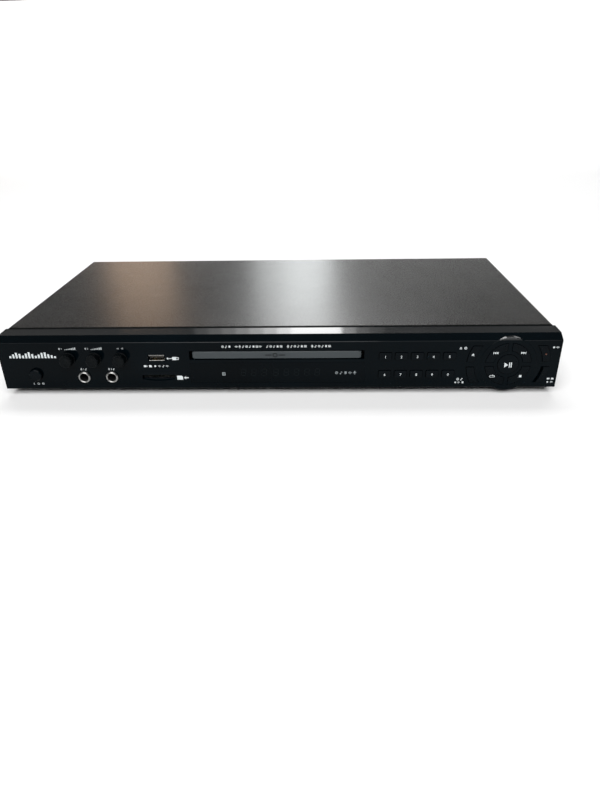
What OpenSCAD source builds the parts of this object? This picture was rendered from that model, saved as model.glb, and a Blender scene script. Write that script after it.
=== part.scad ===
// Karaoke machine with a disc tray: a full-width tabletop unit in a folded steel case.
// Frame: X to the right, Y to the back, Z up, origin under the middle of the whole machine.
// Inside the modules, y is measured from the front face and z from the bottom of the case.

/* [Case] */
// Width of the front panel
case_w = 430; // [428:1:520]
// Depth from the front face to the back wall
case_d = 222; // [215:1:270]
// Height of the metal cover above the bottom of the case
case_h = 44.1; // [43.8:0.1:60]
// Thickness of the folded steel sheet
sheet_t = 0.8; // [0.6:0.1:1.2]
// How far the cover stands in from each end of the front panel
cover_inset = 1.4; // [1:0.1:3]
// Radius of the cover's two long bends
cover_bend_r = 2; // [1.5:0.1:5]
// Height of the feet
foot_h = 5.5; // [3:0.5:15]
// Radius of a foot
foot_r = 11; // [8:0.5:16]
// Distance of the feet from the case's ends
foot_inset = 30; // [22:1:60]

/* [Front panel] */
// Depth of the front panel, back to the cover's front edge
fascia_d = 20.5; // [17:0.5:25]
// Thickness of the panel's front wall
fascia_t = 2.5; // [2:0.1:3]
// Height of the leaning band above the upright face
band_h = 4.3; // [3.5:0.1:5.5]
// Depth of the leaning band
band_d = 6.5; // [4:0.5:10]
// How far the panel's top strip lies under the cover
strip_drop = 0.8; // [0.4:0.1:1.5]
// Distance of the tray opening's middle from the panel's middle
tray_x = 0.5; // [-2:0.5:2]
// Gap at each end of the tray door in its opening
door_gap = 2.2; // [0.5:0.1:4]
// Height of the middle of the tray opening
tray_slot_z = 28.25; // [27.25:0.25:31.25]
// Height of the tray opening
tray_slot_h = 7.5; // [6.5:0.1:9]
// Width of the display window
window_w = 135; // [100:1:142]
// Height of the display window
window_h = 17; // [12:0.5:20]
// Height of the middle of the display window
window_z = 13.5; // [11.5:0.5:13.5]
// Thickness of the display window
window_t = 1.8; // [1.2:0.1:2]

/* [Keys] */
// Distance between the middles of neighbouring number keys
key_pitch = 12.1; // [11:0.1:15]
// Space between neighbouring number keys
key_space = 2.8; // [2.3:0.1:4]
// Height of a number key
key_h = 5.8; // [5:0.1:8]
// Gap all round a key in its hole
key_gap = 0.35; // [0.3:0.05:0.5]
// How far a key travels when pressed
key_travel = 0.6; // [0.3:0.1:0.8]
// How far the power button travels
power_travel = 1.5; // [0.8:0.1:2]
// How far a number key stands out of the face
key_out = 0.8; // [0.4:0.1:1.5]
// Radius of the round control boss
boss_r = 21.7; // [20.5:0.1:22.5]
// How far the control boss stands out of the face
boss_out = 0.2; // [0.1:0.1:2]
// Radius of the play and pause key
play_r = 7.9; // [7:0.1:8.2]
// Width of the boss's rim outside the four quarter keys
boss_rim = 4.6; // [4:0.1:5.5]
// Extra gap on the inner side of the lower right side key
wide_key_gap = 1.6; // [0:0.1:2]
// Radius of the power button
power_r = 4.75; // [4:0.25:6]
// How far the power button stands out
power_out = 3; // [2:0.5:7]

/* [Knobs and sockets] */
// Radius of a volume knob
knob_r = 5.3; // [4.5:0.1:7]
// Length of a volume knob
knob_len = 7.9; // [6:0.1:15]
// Distance between neighbouring volume knobs
knob_pitch = 20.35; // [16.5:0.05:21.5]
// Radius of a potentiometer's shaft
shaft_r = 3; // [2.5:0.1:3.6]
// Radius of the bore of a microphone jack, for a 6.35 mm plug
jack_bore_r = 3.25; // [1.8:0.05:3.9]
// Distance between the two microphone jacks
jack_pitch = 21.8; // [17:0.2:27]
// Outer radius of a phono socket's sleeve
phono_r = 4.15; // [3.4:0.05:5]
// How far a phono socket's sleeve stands out of the back wall
phono_out = 8.5; // [7:0.5:10]

/* [Disc loader] */
// How far the tray slides out
tray_travel = 128; // [106:1:154]
// Radius of the tray's recess for a 120 mm disc
disc_recess_r = 60.5; // [60.3:0.1:65]
// Width of the tray beside the disc recess
tray_rim = 4; // [3.3:0.1:6]
// Distance of the disc's middle from the front face
disc_y = 78; // [76:1:94]
// Width of the slot in the tray, over the turntable and the pickup
tray_gap_w = 36; // [32:1:44]
// Running clearance between sliding plastic pieces
slide_gap = 0.3; // [0.2:0.05:0.4]
// Module of the loader's gear teeth
gear_m = 1; // [0.9:0.1:1.2]
// Angle by which the traverse tips down when the tray moves
tip_angle = 4.5; // [3:0.1:5.5]
// How far the pickup travels outwards
pickup_travel = 35; // [29:1:42]

/* [Hidden] */
$fn = 64;

// Colours
black_gloss = [0.06, 0.07, 0.08];
cover_grey = [0.24, 0.23, 0.22];
bare_steel = [0.72, 0.73, 0.74];
board_green = [0.10, 0.30, 0.16];
chip_black = [0.09, 0.09, 0.10];
chrome_grey = [0.86, 0.87, 0.88];
loader_white = [0.83, 0.83, 0.80];
rubber_black = [0.05, 0.05, 0.05];

// General gaps: between seated pieces, and past a surface so that a cut goes through it
seat = 0.1;
cut = 1;
// Clearance of a sheet piece from its neighbour
sheet_gap = 0.4;

// The whole machine's front and back
knob_gap = 0.6;
knob_out = knob_gap + knob_len;
whole_d = knob_out + case_d + phono_out;
front_y = knob_out - whole_d / 2;

// Case
cover_w = case_w - 2 * cover_inset;
cover_top_in = case_h - sheet_t;
chassis_w = cover_w - 2 * sheet_t - 2 * sheet_gap;
cover_front = fascia_d + 0.3;
back_in = case_d - sheet_t;
flange_h = 14;
lip_gap = 0.2;
lip_h = 9;
screw_head_r = 2.9;
screw_head_h = 1.3;
screw_r = 1.4;
screw_hole_r = 1.7;
thread_hole_r = 1.5;
side_screw_ys = [60, case_d - 40];
side_screw_z = 8;
back_screw_xs = [-case_w / 2 + 25, 0, case_w / 2 - 25];
back_screw_z = case_h - 5.5;
vent_pitch = 6;
vent_w = 2.4;
vent_h = 16;

// Front panel
strip_z = case_h - strip_drop;
band_z = strip_z - 0.3;
crease_z = band_z - band_h;
fascia_floor_t = 2;
fascia_top_t = 2;
fascia_side_t = 2.3;
fascia_edge_r = 1.2;
window_rim = 2;
tray_w = 2 * (disc_recess_r + tray_rim);
door_w = tray_w + 0.6;
tray_slot_w = door_w + 2 * door_gap;
door_h = tray_slot_h - 1.2;
door_t = 2.5;
door_bevel = 2;
door_y = 0.3;

// Keys, switches and boards, from the face inwards
lip_y = fascia_t + 0.3;
lip_t = 1;
key_lip = 0.9;
board_y = 11.5;
board_t = 1.6;
switch_w = 6;
switch_t = 3.5;
plunger_r = 1.7;
plunger_t = 0.8;
plunger_y = board_y - switch_t - plunger_t;
stem_r = 1.6;
stem_gap = 0.15;
post_r = 2.5;

// Number keys: the two rows, and the middle of the first key
key_rows_z = [26.9, 12.1];
key_corner_r = 0.8;
key_w = key_pitch - key_space;

// Control cluster, placed from the right end
cluster_x = case_w / 2 - boss_r - 16.7;
cluster_z = 19.8;
last_key_x = cluster_x - boss_r - 23;
first_key_x = last_key_x - 4 * key_pitch;
boss_edge = 0.4;
quarter_in_r = play_r + 3.2;
quarter_r = boss_r - boss_rim;
web_half = 1.45;
cluster_key_out = 0.3;
side_key_in = boss_r + 3.9;
side_key_out_r = side_key_in + 5.6;
side_key_z = [2.3, 15];
side_key_out = 0.6;

// Left part of the panel, placed from the left end
power_x = 26.5 - case_w / 2;
power_z = 13;
knob_z = 26.5;
mic1_x = 54.8 - case_w / 2;
mic2_x = mic1_x + knob_pitch;
echo_x = mic2_x + knob_pitch;
knob_xs = [mic1_x, mic2_x, echo_x];
knob_ribs = 24;
knob_bore = knob_len - 2.9;
pot_r = 8;
pot_front = 4;
jack_xs = [mic1_x + 9.7, mic1_x + 9.7 + jack_pitch];
jack_z = 10.8;
jack_body = [15, 27.2, 12];
jack_sleeve_r = jack_bore_r + 0.8;
ring_r = jack_bore_r + 1.45;
ring_out = 2.3;
jack_depth = 27;
usb_x = echo_x + 27.5;
usb_z = 26.3;
usb_size = [12.9, 11, 5.1];
usb_wall = 0.35;
card_x = usb_x - 0.2;
card_z = 10.3;
card_slot = [25.4, 3.2];
card_body = [28, 27, 5.4];
card_board_t = 1.6;

// Boards behind the panel, and the posts that carry them
frame_wall = 4.2;
frame_w = tray_w + 2 * (slide_gap + frame_wall);
display_board_w = frame_w + 11;
display_board_z = [3, 23];
display_glass = [window_w - 19, window_h - 4];
mic_board = [9 - case_w / 2, tray_x - display_board_w / 2 - 1.5];
key_board = [tray_x + display_board_w / 2 + 1, case_w / 2 - 3.5];
board_z = [3, 37];
mic_posts = [[mic_board[0] + 3, 34], [mic_board[0] + 3, 5.5], [usb_x - 16, 34], [mic_board[1] - 3.5, 34]];
key_posts = [[key_board[0] + 3, 34.5], [key_board[0] + 3, 5.5], [last_key_x + 9.1, cluster_z],
  [key_board[1] - 2.9, 36]];
display_posts = [for (s = [-1, 1], z = [5.5, 20]) [tray_x + s * (display_board_w / 2 - 2.5), z]];

// Tray and its runners, all inside the height of the tray opening
gear_y = 42;
tray_top = tray_slot_z + tray_slot_h / 2 - 0.8;
tray_skirt = tray_slot_z - tray_slot_h / 2 + 0.7;
deck_under = tray_top - 4;
tray_front = door_y + door_t + seat;
tray_back = gear_y + tray_travel + 8;
skirt_w = 2.5;
recess_z = tray_top - 2;
small_recess_r = disc_recess_r - 19.5;
small_recess_z = tray_top - 2.8;
disc_z = tray_top - 1;

// Loading gears: rack, tray gear and pulley gear in one line across the loader
tray_teeth = 24;
pinion_teeth = 12;
tray_gear_r = gear_m * tray_teeth / 2;
pinion_r = gear_m * pinion_teeth / 2;
tooth_root = 0.69 * gear_m;
tooth_tip = 0.36 * gear_m;
tooth_up = 0.9 * gear_m;
tooth_down = 1.3 * gear_m;
rack_x = 4.7 - tray_w / 2;
tray_gear_x = rack_x + tray_gear_r;
pulley_x = tray_gear_x + tray_gear_r + pinion_r;
motor_x = pulley_x + 34;
tray_gear_z = [deck_under - 7.7, deck_under - slide_gap];
tray_post_r = 2;
pulley_post_r = 1.5;
shaft_run = 0.06;
pulley_z = [tray_gear_z[0] - 5.5, tray_gear_z[0] - 1.5];
pinion_top = tray_gear_z[0] + 3;
pulley_r = 13.5;
pulley_groove_r = 12.3;
motor_pulley_r = 4.6;
motor_groove_r = 3.3;
groove_z = [pulley_z[0] + 1.1, pulley_z[1] - 1.1];
belt_t = 1.2;
belt_gap = 0.3;
motor_r = 12;
motor_shaft_r = 1;

// Traverse: it carries the turntable and the pickup, and tips about its back pins
pickup_len = 30;
pickup_y = disc_y + 17;
rod_y = [disc_y + 11, pickup_y + pickup_len + pickup_travel + 5];
traverse_y = [disc_y - 16, rod_y[1] + 7];
traverse_half = 40;
traverse_z = [disc_z - 10.2, disc_z - 9];
traverse_side_z = traverse_z[0] - 6;
frame_back = max(tray_back, traverse_y[1] + 6) + 8;
pivot_y = traverse_y[1] - 4;
pivot_z = traverse_z[0] - 3;
pivot_r = 1.5;
front_pin_y = traverse_y[0] - 7;
pin_drop = (pivot_y - front_pin_y) * sin(tip_angle);
spindle_r = 13;
spindle_z = [traverse_z[0] - 7, traverse_z[0] - seat];
table_r = 15;
hub_r = 7.4;
rod_x = 19;
rod_z = traverse_z[0] + 4;
rod_r = 1.5;
screw_x = 30;
screw_z = traverse_z[0] - 1.5;
screw_crest = 1.5;
screw_root = 1.1;
screw_pitch = 3;
screw_turns = ceil((pickup_travel + 22) / screw_pitch);
sled_r = 7;
sled_y = [disc_y + 2, disc_y + 15.4];
pickup_half = 15;
pickup_z = [traverse_z[0] - 6, traverse_z[0] + 5.5];
lens_y = disc_y + 23;

// Loader frame
frame_top = tray_top + 2.3;
frame_front = 14;
frame_low_front = cover_front + sheet_t + 2.4;
frame_low = 4;
ledge_z = tray_skirt - slide_gap;
ledge_t = 2.5;
ledge_in = tray_w / 2 - 4.5;
wall_in = tray_w / 2 + slide_gap;
lips_in = disc_recess_r + 0.7;
gear_plate_z = pulley_z[0] - 2;
gear_plate_t = 1.4;
motor_z = [2.3, gear_plate_z - seat];
gear_plate_y = [27, traverse_y[0] - 5];
rail_in = 42.4;
rail_t = 3;
rail_z = [8, traverse_z[0] + 2];
strip_floor = [8, 10];
ear_y = [36, frame_back - 18];
ear_out = 9;
ear_r = 4.5;
ear_z = [8, 10];

// Clamp over the disc
bridge_z = [frame_top + 2.5, frame_top + 3.7];
bridge_half_y = 12;
bridge_hole_r = 12;
puck_z = tray_top + 0.4;

// Boards on the floor and what reaches through the back wall
standoff_z = 6;
main_board_x = [case_w / 2 - 129, case_w / 2 - 9];
main_board_y = [case_d - 104, case_d - 3];
power_board_x = [9 - case_w / 2, 103 - case_w / 2];
power_board_y = [case_d - 104, case_d - 26];
phono_xs = [for (i = [0:2]) main_board_x[0] + 24 + 14 * i];
phono_zs = [15, 29];
phono_block_y = case_d - 14;
inlet_x = 39 - case_w / 2;
inlet_z = 18;
inlet_body = [22, 20, 13];
inlet_flange = [27, 2, 17];
inlet_lobe_r = 4.4;
inlet_half = 4.3;
inlet_depth = 12;
pin_r = 1.2;

// Points
function arc(c, r, a0, a1, n) =
  [for (i = [0:n]) let (a = a0 + (a1 - a0) * i / n) [c[0] + r * cos(a), c[1] + r * sin(a)]];

function round_rect(w, h, r) = concat(
  arc([w / 2 - r, h / 2 - r], r, 0, 90, 4), arc([r - w / 2, h / 2 - r], r, 90, 180, 4),
  arc([r - w / 2, r - h / 2], r, 180, 270, 4), arc([w / 2 - r, r - h / 2], r, 270, 360, 4));

// A ring sector from angle a0 to a1 whose straight sides are moved in by g
function sector(r0, r1, a0, a1, g) = concat(
  arc([0, 0], r1, a0 + asin(g / r1), a1 - asin(g / r1), 12),
  arc([0, 0], r0, a1 - asin(g / r0), a0 + asin(g / r0), 12));

function polar(r, a) = [cluster_x + r * cos(a), cluster_z + r * sin(a)];

function number_pos(n) = let (i = (n + 9) % 10)
  [first_key_x + (i % 5) * key_pitch, key_rows_z[floor(i / 5)]];

side_mid_r = (side_key_in + side_key_out_r) / 2;
quarter_mid_r = (quarter_in_r + quarter_r) / 2;
side_mid_a = asin((side_key_z[0] + side_key_z[1]) / 2 / side_mid_r);
side_points = [for (a = [side_mid_a, 180 - side_mid_a, 180 + side_mid_a, -side_mid_a]) polar(side_mid_r, a)];
switch_points = concat(
  [for (n = [0:9]) number_pos(n)], [[power_x, power_z], polar(0, 0)],
  [for (a = [45:90:315]) polar(quarter_mid_r, a)], side_points);

// Helpers
module place() translate([0, front_y, foot_h]) children();

module box(x, y, z) translate([x[0], y[0], z[0]]) cube([x[1] - x[0], y[1] - y[0], z[1] - z[0]]);

module along_y(y0, y1) translate([0, y1, 0]) rotate([90, 0, 0]) linear_extrude(y1 - y0) children();

module along_x(x0, x1) translate([x0, 0, 0]) rotate([90, 0, 90]) linear_extrude(x1 - x0) children();

module y_rod(p, y0, y1, r) translate([p[0], y0, p[1]]) rotate([-90, 0, 0]) cylinder(r = r, h = y1 - y0);

module z_rod(p, z0, z1, r) translate([p[0], p[1], z0]) cylinder(r = r, h = z1 - z0);

module loader() place() translate([tray_x, 0, 0]) children();

// Case
module cover_section(half, top, low, r) polygon(concat([[-half, low], [half, low]],
  arc([half - r, top - r], r, 0, 90, 6), arc([r - half, top - r], r, 90, 180, 6)));

module top_cover() color(cover_grey) place() difference() {
  union() {
    difference() {
      along_y(cover_front, case_d + lip_gap + sheet_t)
        cover_section(cover_w / 2, case_h, 1, cover_bend_r);
      along_y(cover_front - cut, case_d + lip_gap)
        cover_section(cover_w / 2 - sheet_t, cover_top_in, -cut, cover_bend_r - sheet_t);
      box([-cover_w, cover_w], [case_d + lip_gap - cut, case_d + cut + sheet_t], [-cut, case_h - lip_h]);
    }
    for (s = [-1, 1])
      box([s * (cover_w / 2 - sheet_t / 2) - sheet_t / 2, s * (cover_w / 2 - sheet_t / 2) + sheet_t / 2],
        [cover_front, case_d], [1, case_h - cover_bend_r]);
  }
  for (y = side_screw_ys)
    translate([-case_w / 2, y, side_screw_z]) rotate([0, 90, 0]) cylinder(r = screw_hole_r, h = case_w);
  for (x = back_screw_xs) y_rod([x, back_screw_z], case_d, case_d + cut + sheet_t, screw_hole_r);
}

module standoff(p, top) z_rod(p, sheet_t / 2, top, 3.2);

function board_corners(x, y, m) = [[x[0] + m, y[0] + m], [x[1] - m, y[0] + m],
  [x[0] + m, y[1] - m], [x[1] - m, y[1] - m]];

main_standoffs = board_corners(main_board_x, main_board_y, 5);
power_standoffs = board_corners(power_board_x, power_board_y, 5);
ear_points = [for (s = [-1, 1], y = ear_y) [tray_x + s * (frame_w / 2 + ear_out - ear_r), y]];
foot_points = [for (s = [-1, 1], y = [cover_front + foot_inset - 8, case_d - foot_inset + 8])
  [s * (case_w / 2 - foot_inset), y]];

module base_chassis() color(bare_steel) place() difference() {
  union() {
    box([-chassis_w / 2, chassis_w / 2], [cover_front, case_d], [0, sheet_t]);
    box([-chassis_w / 2, chassis_w / 2], [cover_front, cover_front + sheet_t], [0, flange_h]);
    box([-chassis_w / 2, chassis_w / 2], [back_in, case_d], [0, cover_top_in - sheet_gap]);
    for (s = [-1, 1])
      box([s * (chassis_w - sheet_t) / 2 - sheet_t / 2, s * (chassis_w - sheet_t) / 2 + sheet_t / 2],
        [cover_front, case_d], [0, flange_h]);
    for (p = concat(main_standoffs, power_standoffs)) standoff(p, standoff_z);
    for (p = ear_points) standoff(p, ear_z[0] - seat);
  }
  for (p = concat(main_standoffs, power_standoffs)) z_rod(p, 1, standoff_z + cut, thread_hole_r);
  for (p = ear_points) z_rod(p, 1, ear_z[0] + cut, thread_hole_r);
  for (p = foot_points) z_rod(p, -cut, sheet_t + cut, 3.1);
  for (y = side_screw_ys)
    translate([-case_w / 2, y, side_screw_z]) rotate([0, 90, 0]) cylinder(r = thread_hole_r, h = case_w);
  for (x = back_screw_xs) y_rod([x, back_screw_z], back_in - cut, case_d + cut, thread_hole_r);
  // Notch in the front flange for the jacks and the card socket
  box([jack_xs[0] - 10, card_x + card_body[0] / 2 + 5], [cover_front - cut, cover_front + 3],
    [3, flange_h + cut]);
  for (x = phono_xs, z = phono_zs) y_rod([x, z], back_in - cut, case_d + cut, phono_r + 0.8);
  box([inlet_x - inlet_body[0] / 2 - sheet_gap, inlet_x + inlet_body[0] / 2 + sheet_gap],
    [back_in - cut, case_d + cut],
    [inlet_z - inlet_body[2] / 2 - sheet_gap, inlet_z + inlet_body[2] / 2 + sheet_gap]);
  for (i = [0:9])
    box([-60 + i * vent_pitch, -60 + i * vent_pitch + vent_w], [back_in - cut, case_d + cut],
      [12, 12 + vent_h]);
}

module feet() color(rubber_black) place() for (p = foot_points) {
  translate([p[0], p[1], -foot_h]) rotate_extrude()
    polygon([[0, 0], [foot_r - 1, 0], [foot_r, 1], [foot_r, foot_h - seat], [3, foot_h - seat],
      [3, foot_h + sheet_t + seat], [3.6, foot_h + sheet_t + seat], [2.6, foot_h + sheet_t + 2.2],
      [0, foot_h + sheet_t + 2.2]]);
}

// A pan-head screw whose seat is at the origin and whose shank runs down -Z
module screw(len) {
  cylinder(r1 = screw_head_r, r2 = screw_head_r - 0.6, h = screw_head_h);
  translate([0, 0, -len]) cylinder(r = screw_r, h = len + 0.1);
}

module screws() color(bare_steel) place() {
  for (s = [-1, 1], y = side_screw_ys)
    translate([s * (cover_w / 2 + 0.05), y, side_screw_z]) rotate([0, s * 90, 0]) screw(4);
  for (x = back_screw_xs)
    translate([x, case_d + lip_gap + sheet_t + 0.05, back_screw_z]) rotate([-90, 0, 0]) screw(5);
  for (p = concat(main_standoffs, power_standoffs))
    translate([p[0], p[1], standoff_z + board_t + 2 * seat]) screw(5);
  for (p = ear_points) translate([p[0], p[1], ear_z[1] + seat]) screw(6);
  for (p = concat(mic_posts, key_posts, display_posts))
    translate([p[0], board_y + board_t + seat, p[1]]) rotate([-90, 0, 0]) screw(6);
}

// Front panel
module fascia_outer() polygon(concat(
  [[fascia_d, 0], [fascia_d, strip_z], [band_d, band_z]],
  [[0.25, crease_z + 0.5], [0, crease_z]],
  arc([fascia_edge_r, fascia_edge_r], fascia_edge_r, 180, 270, 4)));

module fascia_inner() polygon([[fascia_t, fascia_floor_t], [fascia_t, crease_z - 0.8],
  [band_d + 1.4, strip_z - fascia_top_t - 0.2], [fascia_d + cut, strip_z - fascia_top_t],
  [fascia_d + cut, fascia_floor_t]]);

module boss() translate([cluster_x, 0, cluster_z]) rotate([-90, 0, 0]) rotate_extrude()
  polygon([[0, -boss_out], [boss_r - boss_edge, -boss_out], [boss_r, boss_edge - boss_out],
    [boss_r, band_d + 2], [0, band_d + 2]]);

module at_cluster(y0, y1) translate([cluster_x, 0, cluster_z]) along_y(y0, y1) children();

// A side key is a piece of a ring from r0 to r1, cut level at its lower and upper end
function side_outline(r0, r1, z0, z1) = concat(
  arc([0, 0], r1, asin(z0 / r1), asin(z1 / r1), 12),
  arc([0, 0], r0, asin(z1 / r0), asin(z0 / r0), 12));

function other_hand(points) = [for (i = [len(points) - 1:-1:0]) [-points[i][0], points[i][1]]];

module side_key_shape(i, r0, grow) {
  outline = side_outline(r0 - grow, side_key_out_r + grow, side_key_z[0] - grow, side_key_z[1] + grow);
  rotate(i > 1 ? 180 : 0) polygon(i % 2 == 0 ? outline : other_hand(outline));
}

// Openings of the front panel, cut from y0 to y1
module fascia_openings(y0, y1) {
  for (n = [0:9]) translate([number_pos(n)[0], 0, number_pos(n)[1]]) along_y(y0, y1)
    polygon(round_rect(key_w + 2 * key_gap, key_h + 2 * key_gap, key_corner_r + key_gap));
  at_cluster(y0, y1) circle(r = play_r + key_gap);
  for (q = [0:3]) at_cluster(y0, y1) rotate(90 * q)
    polygon(sector(quarter_in_r - key_gap, quarter_r + key_gap, 0, 90, web_half));
  for (i = [0:3]) at_cluster(y0, y1) side_key_shape(i, side_key_in, key_gap);
  y_rod([power_x, power_z], y0, y1, power_r + key_gap);
  for (x = knob_xs) y_rod([x, knob_z], y0, y1, shaft_r + 0.6);
  for (x = jack_xs) y_rod([x, jack_z], y0, y1, jack_sleeve_r + seat);
  translate([usb_x, 0, usb_z]) along_y(y0, y1)
    square([usb_size[0] + 2 * seat, usb_size[2] + 2 * seat], center = true);
  translate([card_x, 0, card_z]) along_y(y0, y1) square(card_slot, center = true);
  translate([tray_x, 0, tray_slot_z]) along_y(y0, y1) square([tray_slot_w, tray_slot_h], center = true);
  translate([tray_x, 0, window_z]) along_y(y0, y1)
    square([window_w - 2 * window_rim, window_h - 2 * window_rim], center = true);
}

module front_fascia() color(black_gloss) place() difference() {
  union() {
    difference() {
      union() {
        along_x(-case_w / 2, case_w / 2) fascia_outer();
        boss();
      }
      along_x(fascia_side_t - case_w / 2, case_w / 2 - fascia_side_t) fascia_inner();
    }
    for (p = concat(mic_posts, key_posts, display_posts)) y_rod(p, fascia_t - 0.5, board_y - seat, post_r);
    for (x = [-13.5, 13.5]) box([card_x + x - 2, card_x + x + 2], [fascia_t + 2, fascia_t + 6],
      [fascia_floor_t - 0.5, card_z - card_body[2] / 2 - card_board_t - 2 * seat]);
  }
  fascia_openings(-boss_out - cut, lip_y + key_travel + slide_gap + seat);
  for (p = concat(mic_posts, key_posts, display_posts))
    y_rod(p, fascia_t, board_y + cut, thread_hole_r);
  translate([tray_x, 0, window_z]) along_y(-cut, window_t + seat) square([window_w, window_h], center = true);
  // Finger scoop under the card slot
  intersection() {
    translate([card_x, -2.6, card_z + 57.6]) rotate([-90, 0, 0]) cylinder(r = 61, h = 4, $fn = 128);
    box([card_x - card_slot[0] / 2, card_x + card_slot[0] / 2], [-cut, 1.2], [card_z - 3.6, card_z]);
  }
}

module display_window() color([0.10, 0.11, 0.12]) place() translate([tray_x, 0, window_z])
  along_y(0.02, window_t) square([window_w - 2 * seat, window_h - 2 * seat], center = true);

// Keys: a cap through the panel, a lip behind it and a stem over the switch
module stem(p, travel) y_rod(p, lip_y + lip_t / 2, plunger_y - stem_gap - travel, stem_r);

module number_key(n) color(black_gloss) place() {
  p = number_pos(n);
  translate([p[0], 0, p[1]]) {
    along_y(-key_out, lip_y + lip_t) polygon(round_rect(key_w, key_h, key_corner_r));
    along_y(lip_y, lip_y + lip_t) square([key_w + 2 * key_lip, key_h + 2 * key_lip], center = true);
  }
  stem(p, key_travel);
}

module number_key_1() number_key(1);
module number_key_2() number_key(2);
module number_key_3() number_key(3);
module number_key_4() number_key(4);
module number_key_5() number_key(5);
module number_key_6() number_key(6);
module number_key_7() number_key(7);
module number_key_8() number_key(8);
module number_key_9() number_key(9);
module number_key_0() number_key(0);

module power_button() color(black_gloss) place() {
  translate([power_x, -power_out, power_z]) rotate([-90, 0, 0]) rotate_extrude()
    polygon([[0, 0], [power_r - 0.6, 0], [power_r, 0.6], [power_r, power_out + lip_y],
      [power_r + key_lip, power_out + lip_y], [power_r + key_lip, power_out + lip_y + lip_t],
      [0, power_out + lip_y + lip_t]]);
  stem([power_x, power_z], power_travel);
}

module play_pause_key() color(black_gloss) place() {
  at_cluster(-boss_out - cluster_key_out, lip_y + lip_t) circle(r = play_r);
  at_cluster(lip_y, lip_y + lip_t) circle(r = play_r + key_lip);
  stem(polar(0, 0), key_travel);
}

// The lip of a key, kept clear of the panel's floor and roof
module lip() intersection() {
  at_cluster(lip_y, lip_y + lip_t) children();
  box([cluster_x - 2 * boss_r, cluster_x + 2 * boss_r], [0, board_y],
    [fascia_floor_t + slide_gap, crease_z - 0.8 - slide_gap]);
}

module quarter_key(q) color(black_gloss) place() {
  at_cluster(-boss_out - cluster_key_out, lip_y + seat) rotate(90 * q)
    polygon(sector(quarter_in_r, quarter_r, 0, 90, web_half + key_gap));
  lip() rotate(90 * q) polygon(sector(quarter_in_r - 0.8, quarter_r + key_lip, 0, 90, web_half / 2));
  stem(polar(quarter_mid_r, 90 * q + 45), key_travel);
}

module next_key() quarter_key(0);
module previous_key() quarter_key(1);
module repeat_key() quarter_key(2);
module stop_key() quarter_key(3);

module side_key(i) color(black_gloss) place() {
  at_cluster(-side_key_out, lip_y + seat) side_key_shape(i, side_key_in + (i == 3 ? wide_key_gap : 0), 0);
  lip() side_key_shape(i, side_key_in, key_lip);
  stem(side_points[i], key_travel);
}

module record_key() side_key(0);
module eject_key() side_key(1);
module disc_record_key() side_key(2);
module usb_record_key() side_key(3);

// Knobs, shafts and potentiometers
module knob(x) color(black_gloss) place() translate([x, 0, knob_z]) difference() {
  union() {
    translate([0, -knob_out, 0]) rotate([-90, 0, 0]) rotate_extrude()
      polygon([[0, 0], [knob_r - 1.1, 0], [knob_r - 0.5, 0.6], [knob_r - 0.2, knob_len], [0, knob_len]]);
    for (i = [0:knob_ribs - 1]) rotate([0, 360 / knob_ribs * i, 0])
      box([knob_r - 0.9, knob_r], [-knob_out + 1, -knob_gap], [-0.3, 0.3]);
  }
  y_rod([0, 0], -knob_gap - knob_bore, 0, shaft_r + shaft_run);
}

module mic1_knob() knob(mic1_x);
module mic2_knob() knob(mic2_x);
module echo_knob() knob(echo_x);

module shaft(x) color(bare_steel) place()
  y_rod([x, knob_z], -knob_gap - knob_bore + 0.2, board_y - 1.5, shaft_r);

module mic1_shaft() shaft(mic1_x);
module mic2_shaft() shaft(mic2_x);
module echo_shaft() shaft(echo_x);

module volume_pots() color(bare_steel) place() for (x = knob_xs) difference() {
  y_rod([x, knob_z], pot_front, board_y - seat, pot_r);
  y_rod([x, knob_z], pot_front - cut, board_y - 1.2, shaft_r + shaft_run);
}

// Boards and switches behind the panel
module board_plate(x, z) box(x, [board_y, board_y + board_t], z);

module front_boards() color(board_green) place() {
  difference() {
    union() {
      board_plate(mic_board, board_z);
      board_plate(key_board, board_z);
    }
    for (p = concat(mic_posts, key_posts)) y_rod(p, board_y - cut, board_y + board_t + cut, screw_hole_r);
    for (x = jack_xs) box([x - jack_body[0] / 2 - 0.4, x + jack_body[0] / 2 + 0.4],
      [board_y - cut, board_y + board_t + cut], [0, jack_z + jack_body[2] / 2 + 0.4]);
    box([card_x - card_body[0] / 2 - 3, 0], [board_y - cut, board_y + board_t + cut], [0, 15.5]);
  }
  box([card_x - card_body[0] / 2 - 1, card_x + card_body[0] / 2 + 1], [lip_y, lip_y + 30],
    [card_z - card_body[2] / 2 - card_board_t - seat, card_z - card_body[2] / 2 - seat]);
}

module key_switches() color(chip_black) place() for (p = switch_points) {
  box([p[0] - switch_w / 2, p[0] + switch_w / 2], [board_y - switch_t - seat, board_y - seat],
    [p[1] - switch_w / 2, p[1] + switch_w / 2]);
  y_rod(p, plunger_y, board_y - switch_t, plunger_r);
}

module display_module() color([0.05, 0.10, 0.09]) place() translate([tray_x, 0, 0]) difference() {
  union() {
    board_plate([-display_board_w / 2, display_board_w / 2], display_board_z);
    box([-display_glass[0] / 2, display_glass[0] / 2], [5, board_y + 0.2],
      [window_z - display_glass[1] / 2, window_z + display_glass[1] / 2]);
  }
  for (p = display_posts)
    y_rod([p[0] - tray_x, p[1]], board_y - cut, board_y + board_t + cut, screw_hole_r);
}

module mic_jacks() color(chip_black) place() for (x = jack_xs) difference() {
  union() {
    box([x - jack_body[0] / 2, x + jack_body[0] / 2], [lip_y, lip_y + jack_body[1]],
      [jack_z - jack_body[2] / 2, jack_z + jack_body[2] / 2]);
    y_rod([x, jack_z], -ring_out + 1.1, lip_y + cut, jack_sleeve_r - 0.05);
  }
  y_rod([x, jack_z], -ring_out, jack_depth, jack_bore_r);
}

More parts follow.
